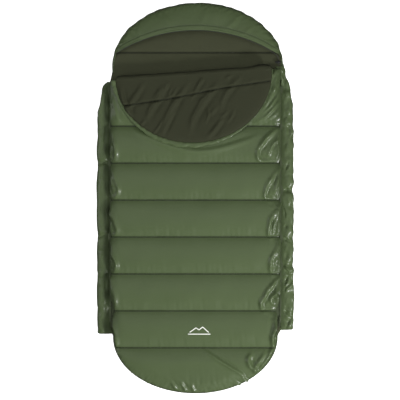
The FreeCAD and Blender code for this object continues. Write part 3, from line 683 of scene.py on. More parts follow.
def seam_puckers(x, y):
    """Fine ripples on the head side of each quilting seam, dying away from it."""
    first = SEAMS[0]
    t = ((y - first) / SEAM_PITCH + 0.5) % 1 - 0.5
    near = np.exp(-np.abs(t) * SEAM_PITCH / (40 * MM)) * smooth(t * SEAM_PITCH, 1 * MM, 12 * MM)
    return near * noise(x, y * 0.2, 36 * MM, 11) * 1.1 * MM


def build_quilt():
    obj = even(slab("quilt_top", quilt_outline(), QUILT_LOW, SEAM_Z + 4 * MM), PAD_VOXEL)
    flat = points_of(obj)
    on_seam = np.zeros(len(flat), bool)
    for seam in SEAMS:
        row = np.abs(flat[:, 1] - seam) < PAD_VOXEL / 2
        flat[row, 1] = seam
        on_seam |= row
    shaped = shape_quilt(flat)
    set_points(obj, shaped)
    sewn = flat[:, 2] < QUILT_LOW + 4 * MM
    inward, _, _ = toe_edge(flat[:, 0], flat[:, 1])
    slack_right, slack_left = 1 - smooth(inward, 60 * MM, 150 * MM), 1 - smooth(inward, 30 * MM, 80 * MM)
    loose = np.where(flat[:, 0] > 0, slack_right, slack_left)
    puff(obj, on_seam | sewn, 1.0, 0.014, 6 * MM, loose=loose)
    subdivide(obj)
    points, normals = points_of(obj), normals_of(obj)
    x, y, z = points.T
    upper = smooth(z, QUILT_LOW + 6 * MM, QUILT_LOW + 24 * MM)
    seam = np.abs((y - SEAMS[0] + SEAM_PITCH / 2) % SEAM_PITCH - SEAM_PITCH / 2)
    seam = np.where(y < SEAMS[0], SEAMS[0] - y, np.where(y > SEAMS[-1], y - SEAMS[-1], seam))
    off_seam = smooth(seam, 1 * MM, 12 * MM)
    wander = 3 * MM * noise(x, y, 90 * MM, 15), 3 * MM * noise(x, y, 90 * MM, 16)
    height = folds(x + wander[0], y + wander[1], zip_folds()) * (1 + 0.2 * noise(x, y, 70 * MM, 17))
    height = (height + folds(x, y, SHOULDER_FOLDS + TOE_FOLDS)) * off_seam + folds(x, y, PRESS_FOLDS)
    inward, _, _ = toe_edge(x, y)
    height += edge_crumple(x, y, inward) * off_seam
    height += toe_puckers(x, y) + seam_puckers(x, y) + 0.8 * MM * noise(x, y, 150 * MM, 5)
    points += normals * (height * upper)[:, None]
    set_points(obj, points)
    # Painted shade: dark lines in the quilting seams, on top and underneath, and darker zip valleys beside
    # the cover's edges, stronger on the left.
    valley = np.where(x < 0, 0.4, 0.34) * (1 - smooth(inward, 5 * MM, 50 * MM)) * (y > TOE_CENTRE)
    lower = 1 - smooth(z, QUILT_LOW + 4 * MM, QUILT_LOW + 8 * MM)
    shade(obj, np.maximum((1 - smooth(seam, 0.5 * MM, 6 * MM)) * np.maximum(upper, lower), valley))
    paint_lining(obj, lambda centre, normal: (normal[:, 2] < -0.35) & (centre[:, 2] < QUILT_LOW + 8 * MM))
    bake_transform(obj)
    layers = ("outer", "wadding", "lining")
    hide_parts(*(f"{part}_{layer}" for part in ("cover", "foot") for layer in layers))
    return obj


def shade(obj, amount):
    """Stores painted shade at each vertex: how far the cloth's colour is darkened where shade falls in seams,
    valleys and folds.
    """
    layer = obj.data.attributes.new("shade", "FLOAT", "POINT")
    layer.data.foreach_set("value", np.clip(amount, 0, 1).astype(np.float32))


def paint_lining(obj, test, lining=LINING):
    """Gives the lining to the faces that pass a test on their centres and normals."""
    faces = obj.data.polygons
    obj.data.materials.clear()
    for material in (SHELL, lining):
        obj.data.materials.append(material)
    lined = test(vectors(faces, "center"), vectors(faces, "normal"))
    faces.foreach_set("material_index", lined.astype(np.int32))
    obj.data.update()


# ---------------------------------------------------------------- base


def base_edge(y):
    """Left and right sides of the base at y."""
    toe = np.sqrt(np.clip(1 - (np.clip(TOE_CENTRE - y, 0, None) / TOE_DEPTH) ** 2, 0, 1))
    head = np.sqrt(np.clip(1 - (np.clip(y - HEAD_CENTRE, 0, None) / HEAD_DEPTH) ** 2, 0, 1))
    straight = BASE_HIGH.x - (BASE_HIGH.x - TOE_HALF) * (1 - smooth(y, WING_END - 28 * MM, WING_END + 6 * MM))
    shift = HEAD_SHIFT * smooth(y, 0.55, 0.72)
    half = np.where(y > 0.55, straight - (straight - HEAD_HALF) * smooth(y, 0.59, 0.69), straight)
    left = -half * toe * head + shift
    return left, half * toe * head + shift


def base_outline():
    ys = np.concatenate(
        [
            TOE_CENTRE - TOE_DEPTH * np.sin(np.radians(np.linspace(89.5, 0, 40))),
            np.linspace(TOE_CENTRE, HEAD_CENTRE, 60)[1:-1],
            HEAD_CENTRE + HEAD_DEPTH * np.sin(np.radians(np.linspace(0, 89.5, 40))),
        ]
    )
    left, right = base_edge(ys)
    return list(zip(right, ys)) + list(zip(left[::-1], ys[::-1]))


def build_base():
    voxel = 11 * MM
    obj = even(slab("base_pad", base_outline(), GROUND + 0.5 * MM, LINING_Z), voxel)
    points = points_of(obj)
    seams = [HINGE_Y + n * SEAM_PITCH for n in range(-1, 8)]
    for seam in seams:
        row = (np.abs(points[:, 1] - seam) < voxel / 2) & (points[:, 2] > LINING_Z / 2)
        points[row, 1] = seam
    x, y, z = points.T
    left, right = base_edge(y)
    rise = (z - GROUND) / LINING_Z
    centre, half = (left + right) / 2, (right - left) / 2
    inward = half - np.abs(x - centre)
    ends = np.where(y < TOE_CENTRE, y + 1.05, 1.05 - y)
    inward = np.where((y < TOE_CENTRE) | (y > HEAD_CENTRE), np.minimum(inward, ends), inward)
    edge = np.sqrt(1 - (1 - np.clip(inward / (16 * MM), 0, 1)) ** 2)
    arch = channel(y, seams, 2.6)
    crown = 33 * MM + 6 * MM * arch - 2 * MM * (arch < 0.02) + 0.6 * MM * noise(x, y, 90 * MM, 8)
    top = crown * (0.84 + 0.16 * edge)
    low = 9 * MM * (1 - edge) ** 2
    side = 1 - smooth(inward, 0, 12 * MM)
    tuck = side * 9 * MM * np.abs(2 * rise - 1) ** 2.5
    x = x - np.sign(x - centre) * tuck * (np.abs(y) < 1.02)
    set_points(obj, np.stack([x, y, GROUND + low * (1 - rise) + rise * (top - GROUND)], -1))
    subdivide(obj)
    points = points_of(obj)
    seam = np.min([np.abs(points[:, 1] - seam) for seam in seams], axis=0)
    # Painted shade: dark lines along the quilting seams of the lining on top.
    shade(obj, (1 - smooth(seam, 0, 6.5 * MM)) * smooth(points[:, 2], 24 * MM, 30 * MM))
    paint_lining(obj, lambda c, n: (n[:, 2] > 0.55) & (c[:, 2] > 20 * MM), INSIDE)
    return fit(obj, "bag_base", "shell_fabric", "base_outer", "base_wadding", "base_lining")


# ---------------------------------------------------------------- flap

FLAP_BOTTOM = 2.2 * MM


def flap_seam(u):
    """The quilting seam on the flap runs closer to the fold on the right."""
    return -102 * MM + 0.105 * u + 3 * MM * np.sin(u * 11)


# The long soft folds of the flap, in its own frame: width, height before the gain, and the path.
FOLD_GAIN = 1.45
LONG_FOLDS = [
    (16, 9, (119, -48), (65, -112), (12, -175), (-29, -239), (-49, -305)),
    (14, 8, (-42, -44), (-96, -114), (-136, -164), (-176, -228), (-214, -300)),
    (15, 9, (-163, -40), (-210, -119), (-250, -170), (-277, -221)),
    (13, 8, (-277, -24), (-330, -97), (-364, -148), (-372, -190)),
    (14, 6, (240, -28), (186, -80), (146, -131), (120, -190)),
    (12, 7, (132, -240), (84, -300), (40, -340)),
    (11, 7, (-404, -36), (-391, -120), (-352, -205)),
    (10, 7, (-122, -178), (-163, -245), (-200, -310)),
    (10, 5, (30, -30), (0, -80), (-30, -130)),
    (12, 5, (330, -24), (300, -60), (262, -88)),
]


def flap_folds():
    """The long folds, and small ones scattered along the same lie."""
    rng = np.random.default_rng(21)
    curves = []
    for width, height, *path in LONG_FOLDS:
        curves.append((millimetres(*path), width * MM, FOLD_GAIN * height * MM))
    for _ in range(16):
        u, v = rng.uniform(-360, 240), -rng.uniform(10, 280)
        length, slope = rng.uniform(40, 110), math.radians(rng.uniform(220, 262))
        bend = rng.uniform(-14, 14)
        middle = (u + length / 2 * math.cos(slope) + bend, v + length / 2 * math.sin(slope))
        end = (u + length * math.cos(slope), v + length * math.sin(slope))
        curves.append((millimetres((u, v), middle, end), rng.uniform(7, 11) * MM, rng.uniform(3, 6) * MM))
    return curves


def build_flap():
    voxel = 7 * MM
    turn = np.linspace(math.pi, 2 * math.pi, 70)
    outline = [(FLAP_SHIFT + FLAP_HALF * math.cos(a), FLAP_DEPTH * math.sin(a)) for a in turn]
    obj = slab("flap_pad", outline + [(FLAP_SHIFT + FLAP_HALF, 3 * MM), (FLAP_SHIFT - FLAP_HALF, 3 * MM)],
               FLAP_BOTTOM, FLAP_THICK - 3 * MM)
    ends = np.linspace(FLAP_SHIFT - FLAP_HALF + 6 * MM, FLAP_SHIFT + FLAP_HALF - 6 * MM, 60)
    roll = tube("roll", [(u, 0, 0) for u in ends], ROLL_RADIUS - 1 * MM, sides=28)
    mesh = join_meshes([obj, roll])
    bpy.data.objects.remove(roll)
    obj.data = mesh
    even(obj, voxel)
    flat = points_of(obj)
    u, v, w = flat.T
    on_seam = (np.abs(v - flap_seam(u)) < voxel * 0.6) & (w > FLAP_THICK / 2) & (v < -20 * MM)
    flat[on_seam, 1] = flap_seam(u[on_seam])
    u, v, w = flat.T
    inward = (1 - flap_reach(u, v)) * FLAP_DEPTH
    edge = np.sqrt(1 - (1 - np.clip(inward / (46 * MM), 0, 1)) ** 2)
    body = v < -2 * MM
    rounded = (w - FLAP_BOTTOM) * (0.5 + 0.5 * edge) + FLAP_BOTTOM
    lift = np.where(body & (w > FLAP_BOTTOM + 2 * MM), rounded, w)
    lift -= 6.5 * MM * on_seam
    set_points(obj, np.stack([u, v, lift], -1))
    pinned = on_seam | (w < FLAP_BOTTOM + 1 * MM) | (v > -4 * MM)
    puff(obj, pinned, 1.2, 0.018, 7 * MM, bending=1.0)
    subdivide(obj)
    points, normals = points_of(obj), normals_of(obj)
    u, v, w = points.T
    upper = smooth(w, 6 * MM, 14 * MM) * smooth(-v, 0.004, 0.03)
    from_seam = np.abs(v - flap_seam(u))
    height = folds(u, v, flap_folds()) * smooth(from_seam, 2 * MM, 14 * MM) * smooth(0.34 - u, 0, 0.12)
    points += normals * (height * upper)[:, None]
    under = (points[:, 2] < FLAP_BOTTOM + 0.5 * MM) & (v < -0.03)
    pulled = 3 * MM * np.exp(-((from_seam / (8 * MM)) ** 2)) + 0.8 * MM * (1 + noise(u, v, 110 * MM, 24))
    points[under, 2] = FLAP_BOTTOM + np.maximum(pulled[under], 0)
    lump = 2.2 * MM * noise(u, v * 0, 120 * MM, 23) + 12 * MM * np.exp(-(((u - 0.362) / 0.034) ** 2))
    points[:, 1] += lump * smooth(v, -2 * MM, 12 * MM)
    points[:, 2] = np.minimum(points[:, 2], FLAP_THICK + 5 * MM)
    set_points(obj, from_fold(points))
    # Painted shade: dark lines along the flap's quilting seam, on top and underneath, and half shade on the
    # roll along the fold.
    seam_shade = (1 - smooth(from_seam, 0, 5 * MM)) * np.maximum(upper, under)
    shade(obj, np.maximum(seam_shade, 0.5 * smooth(v, 10 * MM, 22 * MM)))

    def lined(centre, normal):
        local = to_fold(centre.astype(float))
        turned = np.degrees(np.arctan2(local[:, 2], local[:, 1]))
        on_roll = local[:, 1] > -3 * MM
        top = (normal[:, 2] > 0.1) & (local[:, 2] > 5 * MM)
        return np.where(on_roll, turned > -12, top)

    paint_lining(obj, lined)
    return fit(obj, "flap", "lining_fabric", "flap_outer", "flap_wadding", "flap_lining")


def join_meshes(objects):
    """One mesh that holds the faces of several objects."""
    verts, faces = [], []
    for obj in objects:
        start = len(verts)
        verts += [tuple(v.co) for v in obj.data.vertices]
        faces += [[start + i for i in p.vertices] for p in obj.data.polygons]
    mesh = bpy.data.meshes.new("joined")
    mesh.from_pydata(verts, [], faces)
    return mesh


def hem_width(turn):
    """Half width of the padded hem round the flap, by the angle from its left end."""
    share = turn / math.pi
    middle = 9 * np.exp(-(((share - 0.42) / 0.2) ** 2))
    return (5 + middle + 7 * np.exp(-((share / 0.09) ** 2)) - 3.4 * smooth(share, 0.60, 0.80)) * MM


def build_hem():
    turn = np.linspace(0, math.pi, 260)
    width = hem_width(turn)
    width = width * (1 + 0.10 * noise(turn, turn * 0, 0.13, 31) + 0.05 * noise(turn, turn * 0, 0.04, 32))
    u = FLAP_SHIFT - (FLAP_HALF + width * 0.75) * np.cos(turn)
    v = -(FLAP_DEPTH + width * 0.75) * np.sin(turn)
    w = 8 * MM + 1.2 * MM * noise(turn, turn * 0, 0.1, 33)
    path = np.stack([u, v, w], -1)
    obj = tube("flap_hem_roll", from_fold(path), width, SHELL, sides=18, flat=0.62)
    points, normals = points_of(obj), normals_of(obj)
    ripple = noise(points[:, 0], points[:, 1], 26 * MM, 34) * 0.9 * MM
    set_points(obj, points + normals * ripple[:, None])
    fit(subdivide(obj), "flap", "shell_fabric", "flap_hem")


# ---------------------------------------------------------------- hood


BRIM_REACH = 431 * MM
# Faint slack folds across the hood.
HOOD_FOLDS = fold_set(
    (16, 3.5, (235, 985), (205, 940), (150, 895)),
    (14, 2.5, (310, 930), (275, 890), (225, 862)),
    (18, 2.5, (60, 1020), (45, 965), (20, 915)),
    (18, 2.5, (-180, 985), (-150, 940), (-140, 900)),
    (14, 2.5, (-310, 930), (-300, 890), (-290, 850)),
)


def hood_height(x, y, inset=0.0):
    """Height of the hood's skin above the base."""
    half, depth, rise = HEAD_HALF - inset, HEAD_DEPTH - inset, 64 * MM - inset
    reach = ((x - HEAD_SHIFT) / half) ** 2 + ((y - HEAD_CENTRE) / depth) ** 2
    return rise * np.sqrt(np.clip(1 - reach, 0, 1))


def rippled(x, y):
    """Points of the gathered seam round the head, which strays in and out a little."""
    turn = np.arctan2(y - HEAD_CENTRE, x - HEAD_SHIFT)
    share = 1 + 0.005 * noise(turn, turn * 0, 0.2, 43) * smooth(y, HEAD_CENTRE, HEAD_CENTRE + 80 * MM)
    return HEAD_SHIFT + (x - HEAD_SHIFT) * share, HEAD_CENTRE + (y - HEAD_CENTRE) * share


def brim_y(x, back=0.0):
    """The brim, moved back from its edge."""
    radius = BRIM_RADIUS + back
    return BRIM_APEX - BRIM_RADIUS + np.sqrt(radius**2 - (x - BRIM_SHIFT) ** 2)


def build_hood():
    """Rows run from the brim to the head seam and back underneath, so that the shell is closed."""
    across = np.linspace(-1, 1, 150)
    x_brim = HEAD_SHIFT + BRIM_REACH * np.sin(across * math.pi / 2)
    y_brim = brim_y(x_brim)
    x_seam = HEAD_SHIFT + (HEAD_HALF - 1 * MM) * np.sin(across * math.radians(83))
    y_seam = HEAD_CENTRE + (HEAD_DEPTH - 1 * MM) * np.cos(across * math.radians(83))
    x_seam, y_seam = rippled(x_seam, y_seam)
    rows = []
    shares = np.sin(np.linspace(0, math.pi / 2, 42))
    for inset, order in ((0.0, shares), (11 * MM, shares[::-1])):
        for share in order:
            x = x_brim + (x_seam - x_brim) * share
            y = y_brim + (y_seam - y_brim) * share
            z = LINING_Z + np.maximum(hood_height(x, y) - inset * (1 - share**8), 0.3 * MM)
            z = z - 9 * MM * smooth(share, 0.97, 0.995)
            if inset:
                z = z - 7 * MM * smooth(np.abs(across), 0.86, 0.96)
            rows.append(np.stack([x, y, z], -1))
    points = np.array(rows)
    obj = grid("hood_shell", points, wrap_rows=True, caps=True)
    flat = points_of(obj)
    shell_rows = np.repeat(np.arange(len(rows)), len(across))
    top = shell_rows < len(shares)
    back = flat[:, 1] - brim_y(np.clip(flat[:, 0], -0.42, 0.44))
    pinned = ~top | (back < 22 * MM) | (shell_rows > len(shares) - 3)
    puff(obj, pinned, 0.8, 0.006, 5 * MM, bending=5)
    subdivide(obj)
    points, normals = points_of(obj), normals_of(obj)
    x, y, z = points.T
    reach = np.hypot((x - HEAD_SHIFT) / HEAD_HALF, (y - HEAD_CENTRE) / HEAD_DEPTH)
    inward = (1 - reach) * HEAD_DEPTH
    angle = np.arctan2(y - HEAD_CENTRE, x - HEAD_SHIFT)
    gathers = noise(angle, inward * 2, 0.06, 41)
    puckers = np.exp(-inward / (22 * MM)) * smooth(inward, 0, 6 * MM) * 1.8 * MM * gathers
    back = y - brim_y(np.clip(x, -0.42, 0.44))
    hem = -1.6 * MM * np.exp(-(((back - 20 * MM) / (2.5 * MM)) ** 2)) * (z > LINING_Z + 5 * MM)
    height = (puckers + hem + folds(x, y, HOOD_FOLDS)) * (normals[:, 2] > 0)
    points += normals * (height + 0.9 * MM * noise(x, y, 150 * MM, 42))[:, None]
    points[:, 2] = np.maximum(points[:, 2], LINING_Z - 10 * MM)
    set_points(obj, points)
    # Painted shade: darker in the gathers round the head seam, and a dark line in the hem groove behind the
    # brim.
    rim = 0.45 * (1 - smooth(inward, 4 * MM, 22 * MM)) * smooth(gathers, -0.8, 0.8)
    line = 0.55 * np.exp(-(((back - 20 * MM) / (2.2 * MM)) ** 2)) * (normals[:, 2] > 0)
    shade(obj, np.maximum(rim, line))
    paint_lining(obj, lambda c, n: n[:, 2] < -0.1, INSIDE)
    return fit(obj, "bag_base", "shell_fabric", "hood_outer", "hood_wadding", "hood_lining")


def build_brim():
    x = HEAD_SHIFT + (BRIM_REACH - 1 * MM) * np.sin(np.linspace(-math.pi / 2, math.pi / 2, 150))
    y = brim_y(x) - 1 * MM
    z = LINING_Z + hood_height(x, y) - 5.0 * MM
    swell = 0.55 + 0.45 * smooth(BRIM_REACH - np.abs(x - HEAD_SHIFT), 0, 50 * MM)
    radius = 5.5 * MM * (1 + 0.05 * noise(x, x * 0, 40 * MM, 51)) * swell
    obj = tube("hood_brim_roll", np.stack([x, y, z], -1), radius, SHELL, sides=14)
    fit(subdivide(obj), "bag_base", "shell_fabric", "hood_brim_hem")


def build_binding():
    """Tape sewn round the foot, and round the head under the hood."""
    turn, inset = np.radians(np.linspace(-8, 188, 300)), 2.5 * MM
    x, y = -(TOE_HALF - inset) * np.cos(turn), TOE_CENTRE - (TOE_DEPTH - inset) * np.sin(turn)
    toe = [x, y, turn * 0 + 38 * MM]
    turn, inset = np.radians(np.linspace(-6, 186, 300)), 4.8 * MM
    x, y = HEAD_SHIFT + (HEAD_HALF - inset) * np.cos(turn), HEAD_CENTRE + (HEAD_DEPTH - inset) * np.sin(turn)
    head = [*rippled(x, y), turn * 0 + 32.4 * MM]
    kinds = (("foot_binding", toe, 4.0 * MM, 0.8), ("head_binding", head, 6.5 * MM, 1.05))
    for name, path, radius, flat in kinds:
        path = np.stack(path, -1)
        path[:, 2] += 0.7 * MM * noise(path[:, 0], path[:, 1], 30 * MM, 61)
        obj = tube(name, path, radius, BINDING, sides=12, flat=flat)
        fit(subdivide(obj), "bag_base", "shell_fabric")


# ---------------------------------------------------------------- side wings

# Section of a wing: distance out from its sewn root, and height. It runs round from the root's top.
WING_SECTION = np.array(
    [(-10, 41), (-3, 44), (6, 48.5), (18, 52.5), (31, 53), (44, 49), (54, 39), (58, 25), (54, 11), (44, 4),
     (30, 3), (16, 8), (5, 16), (-7, 20), (-15, 28), (-16, 37)]
) * MM


# Knots where the quilting of the base pulls at the wings, and slack folds between them.
WING_FOLDS = {
    "right": fold_set(
        (7, 10, (466, -252), (470, -228), (488, -220), (518, -242)),
        (7, 10, (462, -376), (478, -384), (500, -402), (522, -402)),
        (7, 8, (512, -404), (514, -450), (480, -488), (466, -530), (465, -560)),
        (7, 8, (500, -410), (486, -448), (466, -482)),
        (7, 8, (466, -598), (488, -612), (516, -634)),
        (8, 7, (520, -632), (500, -668), (486, -702)),
        (9, 8, (498, 392), (504, 362), (498, 330)),
        (7, 8, (504, 200), (494, 172), (480, 150)),
        (7, 10, (462, 30), (482, 46), (512, 36)),
        (7, 8, (506, 8), (514, -22), (510, -60)),
        (7, 7, (464, -50), (476, -76), (480, -104)),
        (7, 7, (464, -140), (478, -152), (492, -150)),
    ),
    "left": fold_set(
        (7, 6, (-462, -170), (-480, -192), (-524, -216)),
        (7, 5, (-464, 200), (-490, 188), (-526, 190)),
        (7, 5, (-474, 560), (-480, 500), (-470, 440)),
        (7, 4, (-466, 420), (-476, 370), (-470, 310)),
        (7, 5, (-478, 140), (-470, 70), (-476, 10)),
        (7, 4, (-470, -30), (-480, -80), (-470, -130)),
        (7, 4, (-476, -260), (-468, -330), (-478, -380)),
        (7, 5, (-470, -430), (-480, -480), (-468, -540)),
    ),
}


def wing_creases(side, root, ys, pinches):
    """Small creases along a wing, and more where the quilting pinches it."""
    rng = np.random.default_rng(80 + side)
    creases = []
    for _ in range(16):
        heading = math.radians(rng.uniform(70, 100))
        x, y = side * (root + rng.uniform(0, 34) * MM), rng.uniform(ys[0], ys[-1])
        length, width, height = rng.uniform(30, 80), rng.uniform(5, 9), rng.uniform(0.8, 2)
        creases.append((x, y, heading, length * MM, width * MM, height * MM))
    for middle, depth in pinches:
        for _ in range(3):
            heading = math.radians(rng.uniform(10, 50)) * -side
            x, y = side * (root + rng.uniform(8, 46) * MM), middle + rng.uniform(-18, 18) * MM
            length, width, height = rng.uniform(12, 28), rng.uniform(3.5, 6), rng.uniform(2, 4)
            creases.append((x, y, heading, length * MM, width * MM, height * MM * depth * 2))
    return creases


def build_wing(side, word, pinches, taper, toe_reach, head_reach, slant):
    low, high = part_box(f"{word}_wing_outer")
    root = abs(low.x if side > 0 else high.x)
    section = closed_curve(WING_SECTION, 30)
    bottom, top = low.y - toe_reach, high.y + head_reach
    ys = np.linspace(bottom, top, int((top - bottom) / (8 * MM)))
    width = np.interp(top - ys, *taper)
    width *= 0.94 + 0.06 * smooth(ys, bottom, bottom + 14 * MM)
    loft = 0.5 + 0.5 * np.sqrt(np.clip((top - ys) / (70 * MM), 0, 1))
    loft *= 0.72 + 0.28 * np.sqrt(np.clip((ys - bottom) / (26 * MM), 0, 1))
    loft *= 1 - 0.4 * smooth(ys, 556 * MM, 590 * MM)
    held = np.zeros(len(ys), bool)
    for y, depth in pinches:
        near = np.exp(-(((ys - y) / (16 * MM)) ** 2))
        loft *= 1 - depth * near
        width *= 1 - 0.25 * depth * near
        held |= np.abs(ys - y) < 5 * MM
    width *= 1 + 0.012 * noise(ys, ys * 0, 190 * MM, 70 + side)
    mid = 26 * MM
    out = section[None, :, 0] * np.where(section[None, :, 0] > 0, width[:, None], 1)
    z = mid + (section[None, :, 1] - mid) * loft[:, None]
    out = out - 11 * MM * smooth(ys, 601 * MM, 612 * MM)[:, None] * (section[None, :, 0] < 0) * (side < 0)
    narrow = 1 - smooth(ys, low.y - 18 * MM, low.y + 16 * MM)
    out = out - 28 * MM * narrow[:, None] * (section[None, :, 0] < 0)
    x = side * (root + out)
    y = ys[:, None] + slant * smooth(ys, top - 60 * MM, top)[:, None] * (1 - np.clip(out / (30 * MM), 0, 1))
    points = np.stack([x, y, z], -1)
    if side > 0:
        points = points[:, ::-1]
    obj = grid(f"{word}_wing", points, SHELL, wrap_columns=True, caps=True)
    flat = points_of(obj)
    fixed = np.repeat(held, points.shape[1]) | (np.abs(flat[:, 0]) < root + 6 * MM)
    fixed |= (flat[:, 1] < ys[0] + 1 * MM) | (flat[:, 1] > ys[-1] - 1 * MM)
    puff(obj, fixed, 1.0, 0.008, 4 * MM, bending=2)
    subdivide(obj)
    points, normals = points_of(obj), normals_of(obj)
    x, y, z = points.T
    free = smooth(np.abs(x), root + 1 * MM, root + 16 * MM)
    creases = wing_creases(side, root, ys, pinches)
    height = crease_field(x, y, creases) + folds(x, y, WING_FOLDS[word])
    if side > 0:
        height += 2.6 * MM * noise(x, y * 0.7, 46 * MM, 78)
    points += normals * (height * smooth(z, 20 * MM, 34 * MM) * free)[:, None]
    points[:, 2] = np.maximum(points[:, 2], GROUND + 0.5 * MM)
    set_points(obj, points)
    # Painted shade on the left wing's inner slope, darkest down by the zip valley.
    if side < 0:
        slope = 0.62 * (1 - smooth(np.abs(x) - root, 6 * MM, 34 * MM))
        slope = slope * (0.85 + 0.25 * noise(x, y, 90 * MM, 77))
        shade(obj, slope * smooth(z, 30 * MM, 40 * MM))
    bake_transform(obj)
    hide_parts(f"{word}_wing_outer", f"{word}_wing_wadding")


def build_gusset():
    """A soft gathered piece that closes the head end of the right zip, between the cover and the wing."""
    ys = np.linspace(603 * MM, 708 * MM, 34)
    across = np.linspace(0, 1, 14)
    y, t = np.meshgrid(ys, across, indexing="ij")
    inner = 461 * MM - 6 * MM * smooth(y, 0.632, 0.640) - 24 * MM * smooth(y, 0.690, 0.704)
    x = inner + (478 * MM - inner) * t
    swell = smooth(y, 0.600, 0.645) * np.sqrt(np.clip((0.710 - y) / 0.022, 0, 1))
    top = 41 * MM + (17 * (1 - t) ** 0.7 + 7 * np.sin(math.pi * t)) * MM * swell
    upper, lower = np.stack([x, y, top], -1), np.stack([x, y, top * 0 + 38.5 * MM], -1)
    rings = np.concatenate([upper, lower[:, ::-1]], 1)[:, ::-1]
    obj = grid("right_gusset", rings, SHELL, wrap_columns=True, caps=True)
    subdivide(obj, 2)
    points, normals = points_of(obj), normals_of(obj)
    gathers = noise(points[:, 0] * 0.6 + points[:, 1], points[:, 0] * 0.3, 30 * MM, 95) * 2 * MM
    points += normals * (gathers * smooth(points[:, 2], 42 * MM, 50 * MM))[:, None]
    set_points(obj, points)
    fit(obj, "bag_base", "shell_fabric")


# ---------------------------------------------------------------- zips


ZIP_PITCH = 3 * MM
TAPE_THICK = 0.8 * MM
TOOTH_REACH, TOOTH_HALF_LENGTH, TOOTH_HALF_HEIGHT = 2.6 * MM, 1.05 * MM, 1.9 * MM
# Section of a tooth, as shares of its half height and half length.
TOOTH_RING = [(0, -1), (0.55, -1), (1, -0.45), (1, 0.45), (0.55, 1), (0, 1)]


def zip_tape(side, near, far, tape_low, tape_high, z):
    """Points of a flat tape, as closed rings one after another along it."""
    ys = np.arange(tape_low, tape_high, 12 * MM)
    ys[-1] = tape_high
    x, y = np.meshgrid(np.linspace(near, far, 5) * side, ys)
    sag = 0.35 * MM * noise(x, y, 50 * MM, 91)
    upper = np.stack([x, y, z + TAPE_THICK + sag], -1)
    lower = np.stack([x, y, z + sag], -1)
    points = np.concatenate([upper, lower[:, ::-1]], 1)
    return points[:, ::-1] if side > 0 else points


def zip_rows(side, word, label, near, far, tape_low, tape_high, z):
    """One tape with its row of teeth. The teeth of the base side lie between those of the cover side."""
    tape = zip_tape(side, near, far, tape_low, tape_high, z)
    verts = tape.reshape(-1, 3).tolist()
    faces = grid_faces(*tape.shape[:2], wrap_columns=True, caps=True)
    kinds = [0] * len(faces)
    mouth, back = (near, near + TOOTH_REACH) if label == "base" else (far, far - TOOTH_REACH)
    one = grid_faces(3, len(TOOTH_RING), wrap_columns=True, caps=True)
    offset = 0.5 if label == "base" else 0.0
    for tooth in np.arange(tape_low + (0.5 + offset) * ZIP_PITCH, tape_high - ZIP_PITCH / 2, ZIP_PITCH):
        start = len(verts)
        for share, size in ((0, 0.75), (0.3, 1), (1, 0.9)):
            x = side * (mouth + (back - mouth) * share)
            for up, along in TOOTH_RING:
                y = tooth + along * TOOTH_HALF_LENGTH * size
                verts.append([x, y, z + TAPE_THICK + up * TOOTH_HALF_HEIGHT * size])
        faces += [[start + i for i in face] for face in one]
        kinds += [1] * len(one)
    name = f"{word}_zip_{label}_side"
    return make(name, verts, faces, TAPE, NYLON, material_of=kinds, shade_smooth=False)


def build_zip(side, word):
    places = ("base", "cover", "foot")
    nodes = [f"{word}_zip_{kind}_{place}" for place in places for kind in ("tape", "teeth")]
    low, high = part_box(nodes[0])
    near, far = sorted((abs(low.x), abs(high.x)))
    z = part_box(nodes[1])[0].z - TAPE_THICK
    base = zip_rows(side, word, "base", near, far, low.y, high.y, z)
    fit(base, "bag_base", "zip_tape", *nodes[:2])
    low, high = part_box(nodes[2])
    near, far = sorted((abs(low.x), abs(high.x)))
    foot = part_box(nodes[4])[0].y
    # The tape is sewn in under the edge of the cover.
    cover = zip_rows(side, word, "cover", near - 20 * MM, far, foot, high.y, z)
    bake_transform(cover)
    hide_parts(*nodes[2:])


# ---------------------------------------------------------------- print, stitches, hardware


def build_print(tree):
    """A plain print of two peaks over a ground line, laid on the cloth."""
    low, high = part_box("front_badge")
    cx, cy = (low.x + high.x) / 2, (low.y + high.y) / 2
    width = high.x - low.x
    peaks = [(-0.42, -0.10), (-0.14, 0.30), (0.0, 0.12), (0.16, 0.38), (0.42, -0.10)]
    ground = [(-0.5, -0.26), (0.5, -0.26)]
    verts, faces = [], []
    half = 2.4 * MM
    for line in (peaks, ground):
        spots = []
        for (ax, ay), (bx, by) in zip(line, line[1:]):
            for share in np.linspace(0, 1, 16, endpoint=False):
                x, y = cx + width * (ax + (bx - ax) * share), cy + 0.5 * width * (ay + (by - ay) * share)
                spots.append((x, y))
        spots.append((cx + width * line[-1][0], cy + 0.5 * width * line[-1][1]))
        spots = np.array(spots)
        run = np.gradient(spots, axis=0)
        side = np.stack([-run[:, 1], run[:, 0]], -1) / np.linalg.norm(run, axis=1)[:, None]
        start = len(verts)
        for spot, s in zip(spots, side):
            for across, lift in ((-1, 0.1), (-0.8, 0.7), (0.8, 0.7), (1, 0.1)):
                x, y = spot + s * across * half
                verts.append(drop(tree, x, y, lift * MM))
        rows = len(spots)
        for r in range(rows - 1):
            for c in range(4):
                a, b = start + r * 4 + c, start + r * 4 + (c + 1) % 4
                faces.append([a, a + 4, b + 4, b])
        faces += [[start + c for c in range(4)], [start + (rows - 1) * 4 + c for c in range(4)][::-1]]
    fit(make("front_print", verts, faces, PRINT), "bag_base", "print", "front_badge")


